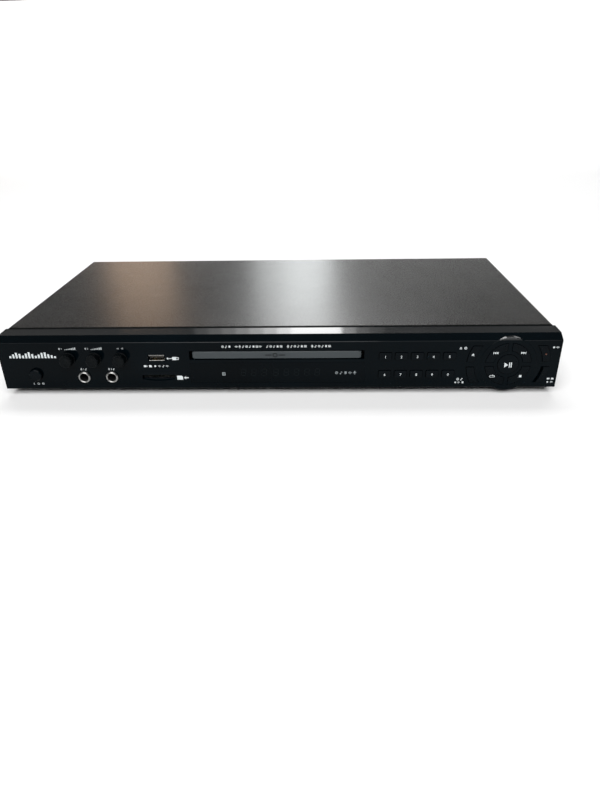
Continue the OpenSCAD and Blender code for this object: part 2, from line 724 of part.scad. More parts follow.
module jack_rings() color(chrome_grey) place() for (x = jack_xs)
  translate([x, 0, jack_z]) rotate([-90, 0, 0]) rotate_extrude()
    polygon([[jack_bore_r + 0.05, 0.5 - ring_out], [jack_bore_r + 0.55, -ring_out], [ring_r - 0.7, -ring_out],
      [ring_r, 0.8 - ring_out], [ring_r, -0.05], [jack_sleeve_r + 0.05, -0.05],
      [jack_sleeve_r + 0.05, 1 - ring_out], [jack_bore_r + 0.05, 1 - ring_out]]);

module usb_socket() color(bare_steel) place() translate([usb_x, 0, usb_z]) {
  difference() {
    along_y(0.2, board_y - seat) square([usb_size[0], usb_size[2]], center = true);
    along_y(-cut, board_y - 1.2)
      square([usb_size[0] - 2 * usb_wall, usb_size[2] - 2 * usb_wall], center = true);
  }
  box([-5.5, 5.5], [1.5, board_y - 0.8], [-0.1, 1.5]);
}

module card_socket() color(bare_steel) place() translate([card_x, 0, card_z]) difference() {
  box([-card_body[0] / 2, card_body[0] / 2], [lip_y, lip_y + card_body[1]],
    [-card_body[2] / 2, card_body[2] / 2]);
  box([-card_slot[0] / 2, card_slot[0] / 2], [0, lip_y + card_body[1] - 1.5],
    [-card_slot[1] / 2, card_slot[1] / 2]);
}

// Gear outline with straight-sided teeth, one of them on the +X side when turn is 0
module gear_shape(teeth, turn) {
  r = gear_m * teeth / 2;
  tip = r + tooth_up;
  root = r - tooth_down;
  tooth = [[root, -tooth_root], [tip, -tooth_tip], [tip, tooth_tip], [root, tooth_root]];
  rotate(turn) polygon([for (i = [0:teeth - 1], k = tooth)
    let (a = 360 / teeth * i + k[1] * 180 / PI / k[0]) [k[0] * cos(a), k[0] * sin(a)]]);
}

// Loader frame
module loader_frame() color(loader_white) loader() difference() {
  union() {
    for (s = [-1, 1]) {
      mirror([s < 0 ? 1 : 0, 0, 0]) {
        box([wall_in, frame_w / 2], [frame_low_front, frame_back], [frame_low, frame_top]);
        box([wall_in, frame_w / 2], [frame_front, frame_low_front], [flange_h + 1.5, frame_top]);
        box([ledge_in, frame_w / 2], [frame_front, frame_back - 1], [ledge_z - ledge_t, ledge_z]);
        box([lips_in, frame_w / 2], [frame_front, frame_back - 8], [tray_top + slide_gap, frame_top]);
        box([rail_in, rail_in + rail_t], [gear_plate_y[1] - 1.5, frame_back], rail_z);
        box([rail_in, frame_w / 2], [gear_plate_y[1], frame_back], strip_floor);
        for (y = ear_y) {
          box([frame_w / 2 - 1, frame_w / 2 + ear_out - ear_r], [y - ear_r, y + ear_r], ear_z);
          z_rod([frame_w / 2 + ear_out - ear_r, y], ear_z[0], ear_z[1], ear_r);
        }
      }
    }
    box([-frame_w / 2 + 1, frame_w / 2 - 1], gear_plate_y, [gear_plate_z, gear_plate_z + gear_plate_t]);
    box([-6, 6], [gear_plate_y[1] - 3, gear_plate_y[1]], [frame_low, 23]);
    box([-frame_w / 2 + 1, frame_w / 2 - 1], [frame_back - 3, frame_back], [frame_low, frame_top]);
    z_rod([tray_gear_x, gear_y], gear_plate_z + 1, tray_gear_z[0] - slide_gap, 3.2);
    z_rod([tray_gear_x, gear_y], gear_plate_z + 1, tray_gear_z[1] - slide_gap, tray_post_r);
    z_rod([pulley_x, gear_y], gear_plate_z + 1, pulley_z[0] - slide_gap, 3.2);
    z_rod([pulley_x, gear_y], gear_plate_z + 1, pinion_top, pulley_post_r);
  }
  // Room for the tray gear in the ledge, for the motor's boss and for the traverse's front pin
  z_rod([tray_gear_x, gear_y], ledge_z - 3, ledge_z + seat, tray_gear_r + tooth_up + 0.8);
  z_rod([motor_x, gear_y], gear_plate_z - cut, gear_plate_z + gear_plate_t + cut, 3.4);
  box([-pivot_r - 0.35, pivot_r + 0.35], [gear_plate_y[1] - 4, gear_plate_y[1] + cut],
    [pivot_z - pin_drop - pivot_r - slide_gap, pivot_z + pivot_r + slide_gap]);
  for (s = [-1, 1]) translate([s * (rail_in - cut), pivot_y, pivot_z]) rotate([0, s * 90, 0])
    cylinder(r = pivot_r + shaft_run, h = rail_t + 2 * cut);
  for (p = ear_points) z_rod([p[0] - tray_x, p[1]], ear_z[0] - cut, ear_z[1] + cut, screw_hole_r);
}

// Tray, door and the loading gears
module tray_rack() {
  start = gear_y - 2.5 * PI * gear_m;
  n = floor((tray_back - 2 - start) / (PI * gear_m));
  tooth = [[-tooth_down, -tooth_root], [tooth_up, -tooth_tip],
    [tooth_up, tooth_tip], [-tooth_down, tooth_root]];
  points = [for (i = [0:n], k = tooth) [rack_x + k[0], start + i * PI * gear_m + k[1]]];
  translate([0, 0, tray_skirt]) linear_extrude(deck_under - tray_skirt + 0.5)
    polygon(concat([[-tray_w / 2, tray_back], [-tray_w / 2, start - 2], [rack_x - tooth_down, start - 2]],
      points, [[rack_x - tooth_down, tray_back]]));
}

module disc_tray() color(black_gloss) loader() {
  difference() {
    union() {
      box([-tray_w / 2, tray_w / 2], [tray_front, tray_back], [deck_under, tray_top]);
      for (s = [-1, 1])
        box([s * (tray_w - skirt_w) / 2 - skirt_w / 2, s * (tray_w - skirt_w) / 2 + skirt_w / 2],
          [tray_front, tray_back], [tray_skirt, tray_top]);
      box([-tray_w / 2, tray_w / 2], [tray_front, tray_front + 3], [tray_skirt, tray_top]);
    }
    z_rod([0, disc_y], recess_z, tray_top + cut, disc_recess_r);
    z_rod([0, disc_y], small_recess_z, tray_top + cut, small_recess_r);
    z_rod([0, disc_y], tray_skirt, tray_top + cut, tray_gap_w / 2);
    box([-tray_gap_w / 2, tray_gap_w / 2], [disc_y, tray_back + cut], [tray_skirt, tray_top + cut]);
    // Finger dips at the front of the disc recess
    for (s = [-1, 1]) z_rod([s * 42, disc_y - 42], small_recess_z, tray_top + cut, 9);
  }
  tray_rack();
}

module tray_door() color([0.27, 0.30, 0.32]) loader()
  translate([0, door_y, tray_slot_z - seat - door_h / 2]) linear_extrude(door_h)
    polygon([[-door_w / 2, door_t], [door_w / 2, door_t], [door_w / 2, door_bevel / 2],
      [door_w / 2 - door_bevel, 0], [door_bevel - door_w / 2, 0], [-door_w / 2, door_bevel / 2]]);

module tray_gear() color([0.85, 0.84, 0.78]) loader() translate([tray_gear_x, gear_y, 0]) difference() {
  translate([0, 0, tray_gear_z[0]]) linear_extrude(tray_gear_z[1] - tray_gear_z[0]) gear_shape(tray_teeth, 0);
  z_rod([0, 0], tray_gear_z[0] - cut, tray_gear_z[1] + cut, tray_post_r + shaft_run);
}

module pulley_gear() color([0.85, 0.84, 0.78]) loader() translate([pulley_x, gear_y, 0]) difference() {
  union() {
    rotate_extrude() polygon([[0, pulley_z[0]], [pulley_r, pulley_z[0]], [pulley_r, groove_z[0] - 0.4],
      [pulley_groove_r, groove_z[0]], [pulley_groove_r, groove_z[1]], [pulley_r, groove_z[1] + 0.4],
      [pulley_r, pulley_z[1]], [0, pulley_z[1]]]);
    translate([0, 0, pulley_z[1] - 0.5]) linear_extrude(pinion_top - pulley_z[1] + 0.5)
      gear_shape(pinion_teeth, 180 / pinion_teeth);
  }
  z_rod([0, 0], pulley_z[0] - cut, pinion_top + cut, pulley_post_r + shaft_run);
}

module motor_pulley() color([0.85, 0.84, 0.78]) loader() translate([motor_x, gear_y, 0]) difference() {
  rotate_extrude() polygon([[0, pulley_z[0]], [motor_pulley_r, pulley_z[0]],
    [motor_pulley_r, groove_z[0] - 0.4], [motor_groove_r, groove_z[0]], [motor_groove_r, groove_z[1]],
    [motor_pulley_r, groove_z[1] + 0.4], [motor_pulley_r, pulley_z[1]], [0, pulley_z[1]]]);
  z_rod([0, 0], pulley_z[0] - cut, pulley_z[1] + cut, motor_shaft_r + shaft_run);
}

module loading_motor() color(bare_steel) loader() translate([motor_x, gear_y, 0]) {
  z_rod([0, 0], motor_z[0], motor_z[1], motor_r);
  z_rod([0, 0], motor_z[1] - 0.5, gear_plate_z + gear_plate_t, 3);
  z_rod([0, 0], motor_z[1] - 0.5, pulley_z[1] - 0.5, motor_shaft_r);
}

module belt_loop(grow) hull() {
  translate([pulley_x, gear_y]) circle(r = pulley_groove_r + belt_gap + grow);
  translate([motor_x, gear_y]) circle(r = motor_groove_r + belt_gap + grow);
}

module loading_belt() color(rubber_black) loader()
  translate([0, 0, (groove_z[0] + groove_z[1] - belt_t) / 2]) linear_extrude(belt_t) difference() {
    belt_loop(belt_t);
    belt_loop(0);
  }

// Traverse, turntable and pickup
module traverse_frame() color(bare_steel) loader() difference() {
  union() {
    box([-traverse_half, traverse_half], traverse_y, traverse_z);
    for (s = [-1, 1]) {
      box([s * (traverse_half - 0.6) - 0.6, s * (traverse_half - 0.6) + 0.6], traverse_y,
        [traverse_side_z, traverse_z[1]]);
      translate([s * (traverse_half - 1), pivot_y, pivot_z]) rotate([0, s * 90, 0])
        cylinder(r = pivot_r, h = rail_in + rail_t - traverse_half + 1);
      for (y = [rod_y[0] - 1, rod_y[1] - 3])
        box([s * rod_x - 3, s * rod_x + 3], [y, y + 4], [traverse_z[0], rod_z + 2.6]);
    }
    box([-4, 4], [traverse_y[0], traverse_y[0] + 1.2], [traverse_side_z, traverse_z[1]]);
    y_rod([0, pivot_z], front_pin_y, traverse_y[0] + 1, pivot_r);
    box([screw_x - sled_r - 1, screw_x + sled_r + 1], [sled_y[1] + seat, sled_y[1] + 1.3],
      [screw_z - 4, traverse_z[1]]);
    box([screw_x - 3, screw_x + 3], [rod_y[1] - 4, rod_y[1] - 1], [screw_z - 3, traverse_z[1]]);
  }
  z_rod([0, disc_y], traverse_z[0] - cut, traverse_z[1] + cut, 8);
  // Window for the pickup and the lead screw, and another for the sled motor
  box([-rod_x - 7, screw_x + 5], [rod_y[0] + 3, rod_y[1] - 4], [traverse_z[0] - cut, traverse_z[1] + cut]);
  box([screw_x - sled_r - 0.6, screw_x + sled_r + 0.6], [sled_y[0] - 1, sled_y[1] + seat],
    [traverse_z[0] - cut, traverse_z[1] + cut]);
  for (s = [-1, 1]) y_rod([s * rod_x, rod_z], rod_y[0], rod_y[1], rod_r + 0.02);
  y_rod([screw_x, screw_z], sled_y[1] - cut, rod_y[1], screw_crest + shaft_run);
}

module traverse_motors() color(bare_steel) loader() {
  difference() {
    z_rod([0, disc_y], spindle_z[0], spindle_z[1], spindle_r);
    z_rod([0, disc_y], spindle_z[0] + 2, spindle_z[1] + cut, rod_r + shaft_run);
  }
  difference() {
    y_rod([screw_x, screw_z], sled_y[0], sled_y[1], sled_r);
    y_rod([screw_x, screw_z], sled_y[1] - 6, sled_y[1] + cut, screw_crest + shaft_run);
  }
}

module turntable() color(chip_black) loader() translate([0, disc_y, 0]) rotate_extrude()
  polygon([[0, spindle_z[0] + 3], [rod_r, spindle_z[0] + 3], [rod_r, traverse_z[1] + 1],
    [6, traverse_z[1] + 1], [6, disc_z - 1.6], [table_r, disc_z - 1.3], [table_r, disc_z], [hub_r, disc_z],
    [hub_r, disc_z + 0.8], [hub_r - 1.8, disc_z + 2], [0, disc_z + 2]]);

module guide_rods() color(chrome_grey) loader()
  for (s = [-1, 1]) y_rod([s * rod_x, rod_z], rod_y[0] + seat, rod_y[1] - seat, rod_r);

module lead_screw() color(chrome_grey) loader() translate([screw_x, sled_y[1] - 5, screw_z])
  rotate([-90, 0, 0]) rotate_extrude() polygon(concat([[0, 0], [screw_crest, 0], [screw_crest, 8]],
    [for (i = [0:screw_turns - 1],
      k = [[screw_root, 0.6], [screw_root, 1.5], [screw_crest, 2.1], [screw_crest, screw_pitch]])
      [k[0], 8 + screw_pitch * i + k[1]]],
    [[screw_crest, rod_y[1] - sled_y[1] + 4], [0, rod_y[1] - sled_y[1] + 4]]));

module optical_pickup() color(chip_black) loader() translate([0, pickup_y, 0]) difference() {
  union() {
    box([-pickup_half, pickup_half], [0, pickup_len], pickup_z);
    box([-rod_x - 3.2, -pickup_half + 1], [1, pickup_len - 1], [rod_z - 3, rod_z + 2.6]);
    box([pickup_half - 1, rod_x + 3.2], [8, 20], [rod_z - 3, rod_z + 2.6]);
    box([pickup_half - 1, screw_x + 3.5], [10, 18], [screw_z - 3.2, screw_z + 1]);
    box([-7, 7], [1, 13], [pickup_z[1] - 0.5, pickup_z[1] + 1.8]);
    z_rod([0, lens_y - pickup_y], pickup_z[1], pickup_z[1] + 2.6, 3.2);
  }
  for (s = [-1, 1]) y_rod([s * rod_x, rod_z], -cut, pickup_len + cut, rod_r + shaft_run);
  y_rod([screw_x, screw_z], -cut, pickup_len + cut, screw_crest + 0.3);
}

// Clamp
module clamp_bridge() color(bare_steel) loader() difference() {
  union() {
    box([-frame_w / 2, frame_w / 2], [disc_y - bridge_half_y - 4, disc_y + bridge_half_y + 4], bridge_z);
    for (s = [-1, 1])
      box([s * (frame_w / 2 - 1.5) - 1.5, s * (frame_w / 2 - 1.5) + 1.5],
        [disc_y - bridge_half_y, disc_y + bridge_half_y], [frame_top + seat, bridge_z[1]]);
  }
  z_rod([0, disc_y], bridge_z[0] - cut, bridge_z[1] + cut, bridge_hole_r);
}

module clamp_puck() color(black_gloss) loader() translate([0, disc_y, 0]) rotate_extrude()
  polygon([[hub_r + 0.8, puck_z], [table_r, puck_z], [table_r, bridge_z[0] - 0.6],
    [bridge_hole_r - 1, bridge_z[0] - 0.6], [bridge_hole_r - 1, bridge_z[1] + 0.4],
    [bridge_hole_r + 2, bridge_z[1] + 0.4], [bridge_hole_r + 2, bridge_z[1] + 1.8], [0, bridge_z[1] + 1.8],
    [0, disc_z + 3], [hub_r + 0.8, disc_z + 3]]);

// Boards on the floor
module floor_board(x, y, points) difference() {
  box(x, y, [standoff_z + seat, standoff_z + seat + board_t]);
  for (p = points) z_rod(p, standoff_z - cut, standoff_z + board_t + cut, screw_hole_r);
}

board_top = standoff_z + seat + board_t - 0.2;

module main_board() color(board_green) place() {
  floor_board(main_board_x, main_board_y, main_standoffs);
  translate([main_board_x[0], main_board_y[0], board_top]) {
    translate([45, 30, 0]) cube([24, 24, 2.2]);
    for (i = [0:6]) translate([45 + i * 3.6, 30, 1.5]) cube([1.4, 24, 8]);
    for (p = [[78, 30], [78, 46], [20, 40]]) translate([p[0], p[1], 0]) cube([12, 10, 1.4]);
    for (i = [0:4]) translate([18 + i * 11, 78, 0]) cylinder(r = 4, h = 11.5);
    for (i = [0:2]) translate([96, 15 + i * 24, 0]) cube([8, 18, 7]);
    translate([30, 12, 0]) cube([40, 6, 6]);
  }
}

module power_board() color([0.45, 0.36, 0.18]) place() {
  floor_board(power_board_x, power_board_y, power_standoffs);
  translate([power_board_x[0], power_board_y[0], board_top]) {
    translate([36, 28, 0]) cube([30, 26, 20]);
    translate([32, 32, 3]) cube([38, 18, 14]);
    translate([18, 58, 0]) cylinder(r = 9, h = 26);
    for (i = [0:2]) translate([80, 20 + i * 16, 0]) cylinder(r = 5, h = 16);
    translate([24, 14, 0]) cube([42, 3, 22]);
    translate([44, 62, 0]) cube([18, 10, 14]);
    translate([74, 64, 0]) cube([12, 6, 8]);
  }
}

module phono_sockets() color(chip_black) place() difference() {
  union() {
    box([phono_xs[0] - 8, phono_xs[2] + 8], [phono_block_y, back_in - seat],
      [standoff_z + seat + board_t + seat, phono_zs[1] + 7]);
    for (x = phono_xs, z = phono_zs) {
      y_rod([x, z], back_in - 1, case_d + phono_out, phono_r);
      y_rod([x, z], back_in - 1, case_d + 0.6, phono_r + 0.5);
    }
  }
  for (x = phono_xs, z = phono_zs) y_rod([x, z], case_d - 2, case_d + phono_out + cut, 1.7);
}

module inlet_cavity() {
  for (s = [-1, 1]) translate([s * inlet_half, 0]) circle(r = inlet_lobe_r);
  square([2 * inlet_half, 1.4 * inlet_lobe_r], center = true);
}

module mains_inlet() color(chip_black) place() translate([inlet_x, 0, inlet_z]) {
  difference() {
    union() {
      box([-inlet_body[0] / 2, inlet_body[0] / 2], [case_d - inlet_body[1], case_d + 1],
        [-inlet_body[2] / 2, inlet_body[2] / 2]);
      box([-inlet_flange[0] / 2, inlet_flange[0] / 2], [case_d + seat, case_d + inlet_flange[1]],
        [-inlet_flange[2] / 2, inlet_flange[2] / 2]);
    }
    along_y(case_d + inlet_flange[1] - inlet_depth, case_d + inlet_flange[1] + cut) inlet_cavity();
  }
  for (s = [-1, 1]) y_rod([s * inlet_half, 0], case_d + inlet_flange[1] - inlet_depth - 1, case_d, pin_r);
}

base_chassis();
top_cover();
front_fascia();
display_window();
feet();
screws();
number_key_1();
number_key_2();
number_key_3();
number_key_4();
number_key_5();
number_key_6();
number_key_7();
number_key_8();
number_key_9();
number_key_0();
power_button();
play_pause_key();
previous_key();
next_key();
repeat_key();
stop_key();
eject_key();
disc_record_key();
record_key();
usb_record_key();
mic1_knob();
mic2_knob();
echo_knob();
mic1_shaft();
mic2_shaft();
echo_shaft();
volume_pots();
front_boards();
key_switches();
display_module();
mic_jacks();
jack_rings();
usb_socket();
card_socket();
loader_frame();
disc_tray();
tray_door();
clamp_bridge();
clamp_puck();
loading_motor();
motor_pulley();
loading_belt();
pulley_gear();
tray_gear();
traverse_frame();
traverse_motors();
turntable();
guide_rods();
lead_screw();
optical_pickup();
main_board();
power_board();
phono_sockets();
mains_inlet();
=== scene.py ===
"""Looks for a karaoke machine with a disc tray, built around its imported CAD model.

Lengths in the tables below are in millimetres, measured on the front panel: x from the panel's
middle to the right, y from the upright face to the back, z up from the bottom of the case.
"""

import math

import bmesh
import bpy
from bpy.props import FloatProperty, FloatVectorProperty, PointerProperty
from mathutils import Matrix, Vector


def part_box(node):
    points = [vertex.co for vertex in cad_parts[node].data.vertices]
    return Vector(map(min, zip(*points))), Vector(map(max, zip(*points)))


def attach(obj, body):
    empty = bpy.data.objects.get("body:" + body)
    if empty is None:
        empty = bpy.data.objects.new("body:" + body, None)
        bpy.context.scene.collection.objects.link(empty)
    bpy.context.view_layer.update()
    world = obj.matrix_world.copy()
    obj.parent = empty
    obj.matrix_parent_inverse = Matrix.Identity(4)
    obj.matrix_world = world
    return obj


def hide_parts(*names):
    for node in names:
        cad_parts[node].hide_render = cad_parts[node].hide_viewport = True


bl_info = {
    "name": "Karaoke machine looks",
    "version": (1, 0, 0),
    "blender": (4, 5, 0),
    "location": "3D View > Sidebar > Karaoke machine",
    "description": "Finishes, markings and studio for a karaoke machine with a disc tray",
    "category": "Object",
}

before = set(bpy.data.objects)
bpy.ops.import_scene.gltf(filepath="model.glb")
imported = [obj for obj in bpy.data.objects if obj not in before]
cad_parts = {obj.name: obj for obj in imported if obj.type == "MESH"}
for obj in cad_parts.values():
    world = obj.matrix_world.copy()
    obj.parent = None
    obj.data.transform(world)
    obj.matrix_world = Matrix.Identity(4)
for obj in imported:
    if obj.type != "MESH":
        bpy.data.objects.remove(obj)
bpy.context.view_layer.update()

MM = 0.001
WINDOW_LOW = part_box("display_window")[0]
WINDOW_SET_BACK = 0.02
FACE_Y = WINDOW_LOW.y - WINDOW_SET_BACK * MM
WINDOW_ABOVE_EDGE = 5.0
BASE_Z = WINDOW_LOW.z - WINDOW_ABOVE_EDGE * MM
CASE_BACK = (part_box("base_chassis")[1].y - FACE_Y) / MM
POLISHED_ABOVE = 39.3
BOARD_TOP = 7.9
SHARP_DEGREES = 38
SCREW_HEAD_MM = 5.8
SIDE_MARK_RADIUS = 28.4
KNOB_LABEL_Z = 34.2
JACK_LABEL_Z = 17.0
WINDOW_WALL_Y = 1.9

DIGIT_KEYS = [f"number_key_{n}" for n in range(10)]
QUARTER_KEYS = ["next_key", "previous_key", "repeat_key", "stop_key"]
SIDE_KEYS = ["record_key", "eject_key", "disc_record_key", "usb_record_key"]
KNOBS = {"mic1_knob": "mic1_volume", "mic2_knob": "mic2_volume", "echo_knob": "echo_level"}


def at(x, y, z):
    """A point of the front panel, given in millimetres, in the row frame."""
    return Vector((x * MM, FACE_Y + y * MM, BASE_Z + z * MM))


def middle(node):
    """The middle of a CAD node's box, as panel millimetres."""
    low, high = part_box(node)
    point = (low + high) / 2
    return point.x / MM, (point.y - FACE_Y) / MM, (point.z - BASE_Z) / MM


def front_of(node):
    """How far back from the panel's face a CAD node starts, in millimetres."""
    return (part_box(node)[0].y - FACE_Y) / MM


# ---------------------------------------------------------------- user settings


class FinishSettings(bpy.types.PropertyGroup):
    """Colours and gloss of the finishes."""

    cover_colour: FloatVectorProperty(
        name="Cover", description="Paint of the steel cover", subtype="COLOR",
        size=3, min=0, max=1, default=(0.010, 0.0095, 0.009))
    panel_colour: FloatVectorProperty(
        name="Front panel", description="Gloss plastic of the panel and keys", subtype="COLOR",
        size=3, min=0, max=1, default=(0.0006, 0.0022, 0.0034))
    ink_colour: FloatVectorProperty(
        name="Markings", description="White print on the panel", subtype="COLOR",
        size=3, min=0, max=1, default=(0.60, 0.64, 0.65))
    door_colour: FloatVectorProperty(
        name="Tray door", description="Grey plastic of the tray door", subtype="COLOR",
        size=3, min=0, max=1, default=(0.026, 0.034, 0.038))
    cover_gloss: FloatProperty(
        name="Cover roughness", description="Roughness of the cover's paint", subtype="FACTOR",
        min=0, max=1, default=0.27)
    panel_gloss: FloatProperty(
        name="Panel roughness", description="Roughness of the gloss plastic", subtype="FACTOR",
        min=0, max=1, default=0.07)


class DetailSettings(bpy.types.PropertyGroup):
    """Sizes of the small details."""

    edge_radius: FloatProperty(
        name="Edge radius", description="Rounding of moulded edges", subtype="DISTANCE",
        unit="LENGTH", min=0.00002, max=0.0005, default=0.00018)
    sheet_edge: FloatProperty(
        name="Sheet edge radius", description="Rounding of folded steel edges",
        subtype="DISTANCE", unit="LENGTH", min=0.00002, max=0.0004, default=0.00012)
    ink_height: FloatProperty(
        name="Print height", description="How far the print stands out", subtype="DISTANCE",
        unit="LENGTH", min=0.00001, max=0.0002, default=0.00004)
    digit_height: FloatProperty(
        name="Digit height", description="Height of a key's digit", subtype="DISTANCE",
        unit="LENGTH", min=0.001, max=0.004, default=0.002)


class StudioSettings(bpy.types.PropertyGroup):
    """Lights and background."""

    window_power: FloatProperty(
        name="Back window", description="Light that the cover and the strip mirror",
        subtype="POWER", unit="POWER", min=0, max=100, default=1.5)
    soft_power: FloatProperty(
        name="Softboxes", description="Main soft light, each of the two", subtype="POWER",
        unit="POWER", min=0, max=2000, default=140)
    floor_colour: FloatVectorProperty(
        name="Floor", description="Colour of the floor and backdrop", subtype="COLOR",
        size=3, min=0, max=1, default=(0.9, 0.9, 0.9))


SETTINGS = {"finish": FinishSettings, "detail": DetailSettings, "studio": StudioSettings}


def settings(group):
    """One group of the scene's settings."""
    return getattr(bpy.context.scene, "karaoke_" + group)


# ---------------------------------------------------------------- materials


class Nodes:
    """A material's node tree with short calls to add and join nodes."""

    def __init__(self, name):
        self.material = bpy.data.materials.new(name)
        self.material.use_nodes = True
        self.tree = self.material.node_tree
        self.shader = self.tree.nodes["Principled BSDF"]
        self.coords = self.tree.nodes.new("ShaderNodeTexCoord").outputs["Object"]

    def join(self, socket, value):
        """Feeds an input from another socket, or sets it to a plain value."""
        if isinstance(value, bpy.types.NodeSocket):
            self.tree.links.new(value, socket)
        else:
            socket.default_value = value

    def feed(self, name, value):
        """Feeds or sets one of the shader's own inputs."""
        self.join(self.shader.inputs[name], value)

    def add(self, kind, values=(), **inputs):
        """A node with some properties and inputs; an input may be a socket or a value."""
        node = self.tree.nodes.new("ShaderNode" + kind)
        for key, value in dict(values).items():
            setattr(node, key, value)
        for key, value in inputs.items():
            numbered = key[0] == "i" and key[1:].isdigit()
            self.join(node.inputs[int(key[1:]) if numbered else key], value)
        return node

    def scaled(self, stretch):
        """The object coordinates, stretched."""
        return self.add("Mapping", Vector=self.coords, Scale=stretch).outputs["Vector"]

    def noise(self, size_mm, detail=3.0, stretch=(1, 1, 1), rough=0.5):
        """Noise whose blotches are about size_mm across."""
        return self.add("TexNoise", Vector=self.scaled(stretch), Scale=1 / (size_mm * MM),
                        Detail=detail, Roughness=rough).outputs["Fac"]

    def spread(self, source, low, high, start=0.3, end=0.7):
        """A source's values from start to end, as values from low to high."""
        return self.add("MapRange", Value=source, **{"From Min": start, "From Max": end,
                        "To Min": low, "To Max": high}).outputs["Result"]

    def mix(self, share, first, second):
        """Two colours mixed by a share."""
        node = self.add("Mix", {"data_type": "RGBA"}, i0=share, i6=first, i7=second)
        return node.outputs[2]

    def maths(self, operation, first, second=0.0):
        return self.add("Math", {"operation": operation}, i0=first, i1=second).outputs[0]

    def bump(self, height, depth_mm, under=None):
        """A bump of a given depth, over another one if it is given."""
        node = self.add("Bump", Height=height, Distance=depth_mm * MM, Strength=1.0)
        if under is not None:
            self.join(node.inputs["Normal"], under)
        return node.outputs["Normal"]


def rgba(colour, share=1.0):
    return tuple(min(1.0, c * share) for c in colour[:3]) + (1.0,)


def finish(name, colour, rough, specular, mottle, mottle_mm, grain_mm, grain_depth,
           rough_spread=0.04, metal=0.0, stretch=(1, 1, 1), polish=None):
    """A moulded, painted or plated surface: blotchy colour, uneven gloss and a fine grain.
    polish is a height on the panel in mm and the specular level above it."""
    n = Nodes(name)
    blotch = n.noise(mottle_mm, 4.0, stretch)
    fine = n.noise(grain_mm, 2.0, stretch)
    tone = n.mix(n.spread(blotch, 0.0, 1.0), rgba(colour, 1 - mottle), rgba(colour, 1 + mottle))
    n.feed("Base Color", tone)
    uneven = n.maths("ADD", n.spread(fine, rough - rough_spread, rough + rough_spread),
                     n.spread(blotch, -rough_spread / 2, rough_spread / 2))
    n.feed("Roughness", uneven)
    n.feed("Normal", n.bump(fine, grain_depth))
    n.feed("Metallic", metal)
    n.feed("Specular IOR Level", specular)
    if polish:
        height = n.add("SeparateXYZ", Vector=n.coords).outputs["Z"]
        above = n.maths("GREATER_THAN", height, BASE_Z + polish[0] * MM)
        n.feed("Specular IOR Level", n.spread(above, specular, polish[1], 0, 1))
    return n.material


def cover_paint():
    """Satin paint over folded steel, with the fine pimples of a powder coat."""
    s = settings("finish")
    n = Nodes("cover_paint")
    pimples = n.noise(0.55, 1.0)
    waves = n.noise(2.4, 2.0)
    dust = n.noise(45.0, 5.0, rough=0.6)
    tone = n.mix(n.spread(dust, 0.0, 1.0), rgba(s.cover_colour, 0.86), rgba(s.cover_colour, 1.16))
    n.feed("Base Color", tone)
    gloss = n.maths("ADD", n.spread(dust, -0.006, 0.008),
                    n.spread(pimples, s.cover_gloss - 0.03, s.cover_gloss + 0.04))
    n.feed("Roughness", gloss)
    soft = n.bump(waves, 0.006)
    n.feed("Normal", n.bump(pimples, 0.006, soft))
    n.feed("Specular IOR Level", 0.5)
    return n.material


def board_finish(name, colour, top_mm):
    """A printed circuit board: traces on the laminate, and parts above it in their own tones."""
    n = Nodes(name)
    height = n.add("SeparateXYZ", Vector=n.coords).outputs["Z"]
    above = n.maths("GREATER_THAN", height, BASE_Z + top_mm * MM)
    traces = n.add("TexWave", {"bands_direction": "DIAGONAL"}, Vector=n.coords, Scale=160.0,
                   Distortion=9.0, Detail=2.0).outputs["Fac"]
    line = n.maths("GREATER_THAN", traces, 0.72)
    laminate = n.mix(line, rgba(colour), rgba(colour, 1.7))
    cells = n.add("TexVoronoi", Vector=n.coords, Scale=55.0).outputs["Color"]
    tone = n.add("SeparateColor", Color=cells).outputs["Red"]
    ramp = n.add("ValToRGB", Fac=tone)
    stops = ramp.color_ramp.elements
    stops[0].color = (0.012, 0.012, 0.013, 1)
    stops[1].position, stops[1].color = 0.9, (0.30, 0.30, 0.29, 1)
    for place, colour_at in ((0.55, (0.03, 0.032, 0.035, 1)), (0.75, (0.02, 0.05, 0.13, 1))):
        stops.new(place).color = colour_at
    n.feed("Base Color", n.mix(above, laminate, ramp.outputs["Color"]))
    n.feed("Roughness", n.spread(n.noise(1.5), 0.32, 0.5))
    n.feed("Normal", n.bump(line, 0.02))
    return n.material


def ridged_metal(name, colour, rough, pitch_mm):
    """Turned or threaded metal: fine rings round the part, with blotchy tone and roughness."""
    n = Nodes(name)
    rings = n.add("TexWave", {"wave_type": "RINGS", "rings_direction": "SPHERICAL"},
                  Vector=n.coords, Scale=1 / (pitch_mm * MM * 20), Distortion=1.5).outputs["Fac"]
    blotch = n.noise(3.0, 3.0)
    n.feed("Base Color", n.mix(blotch, rgba(colour, 0.85), rgba(colour, 1.1)))
    n.feed("Roughness", n.spread(blotch, rough * 0.7, rough * 1.4))
    n.feed("Normal", n.bump(rings, 0.002))
    n.feed("Metallic", 1.0)
    return n.material


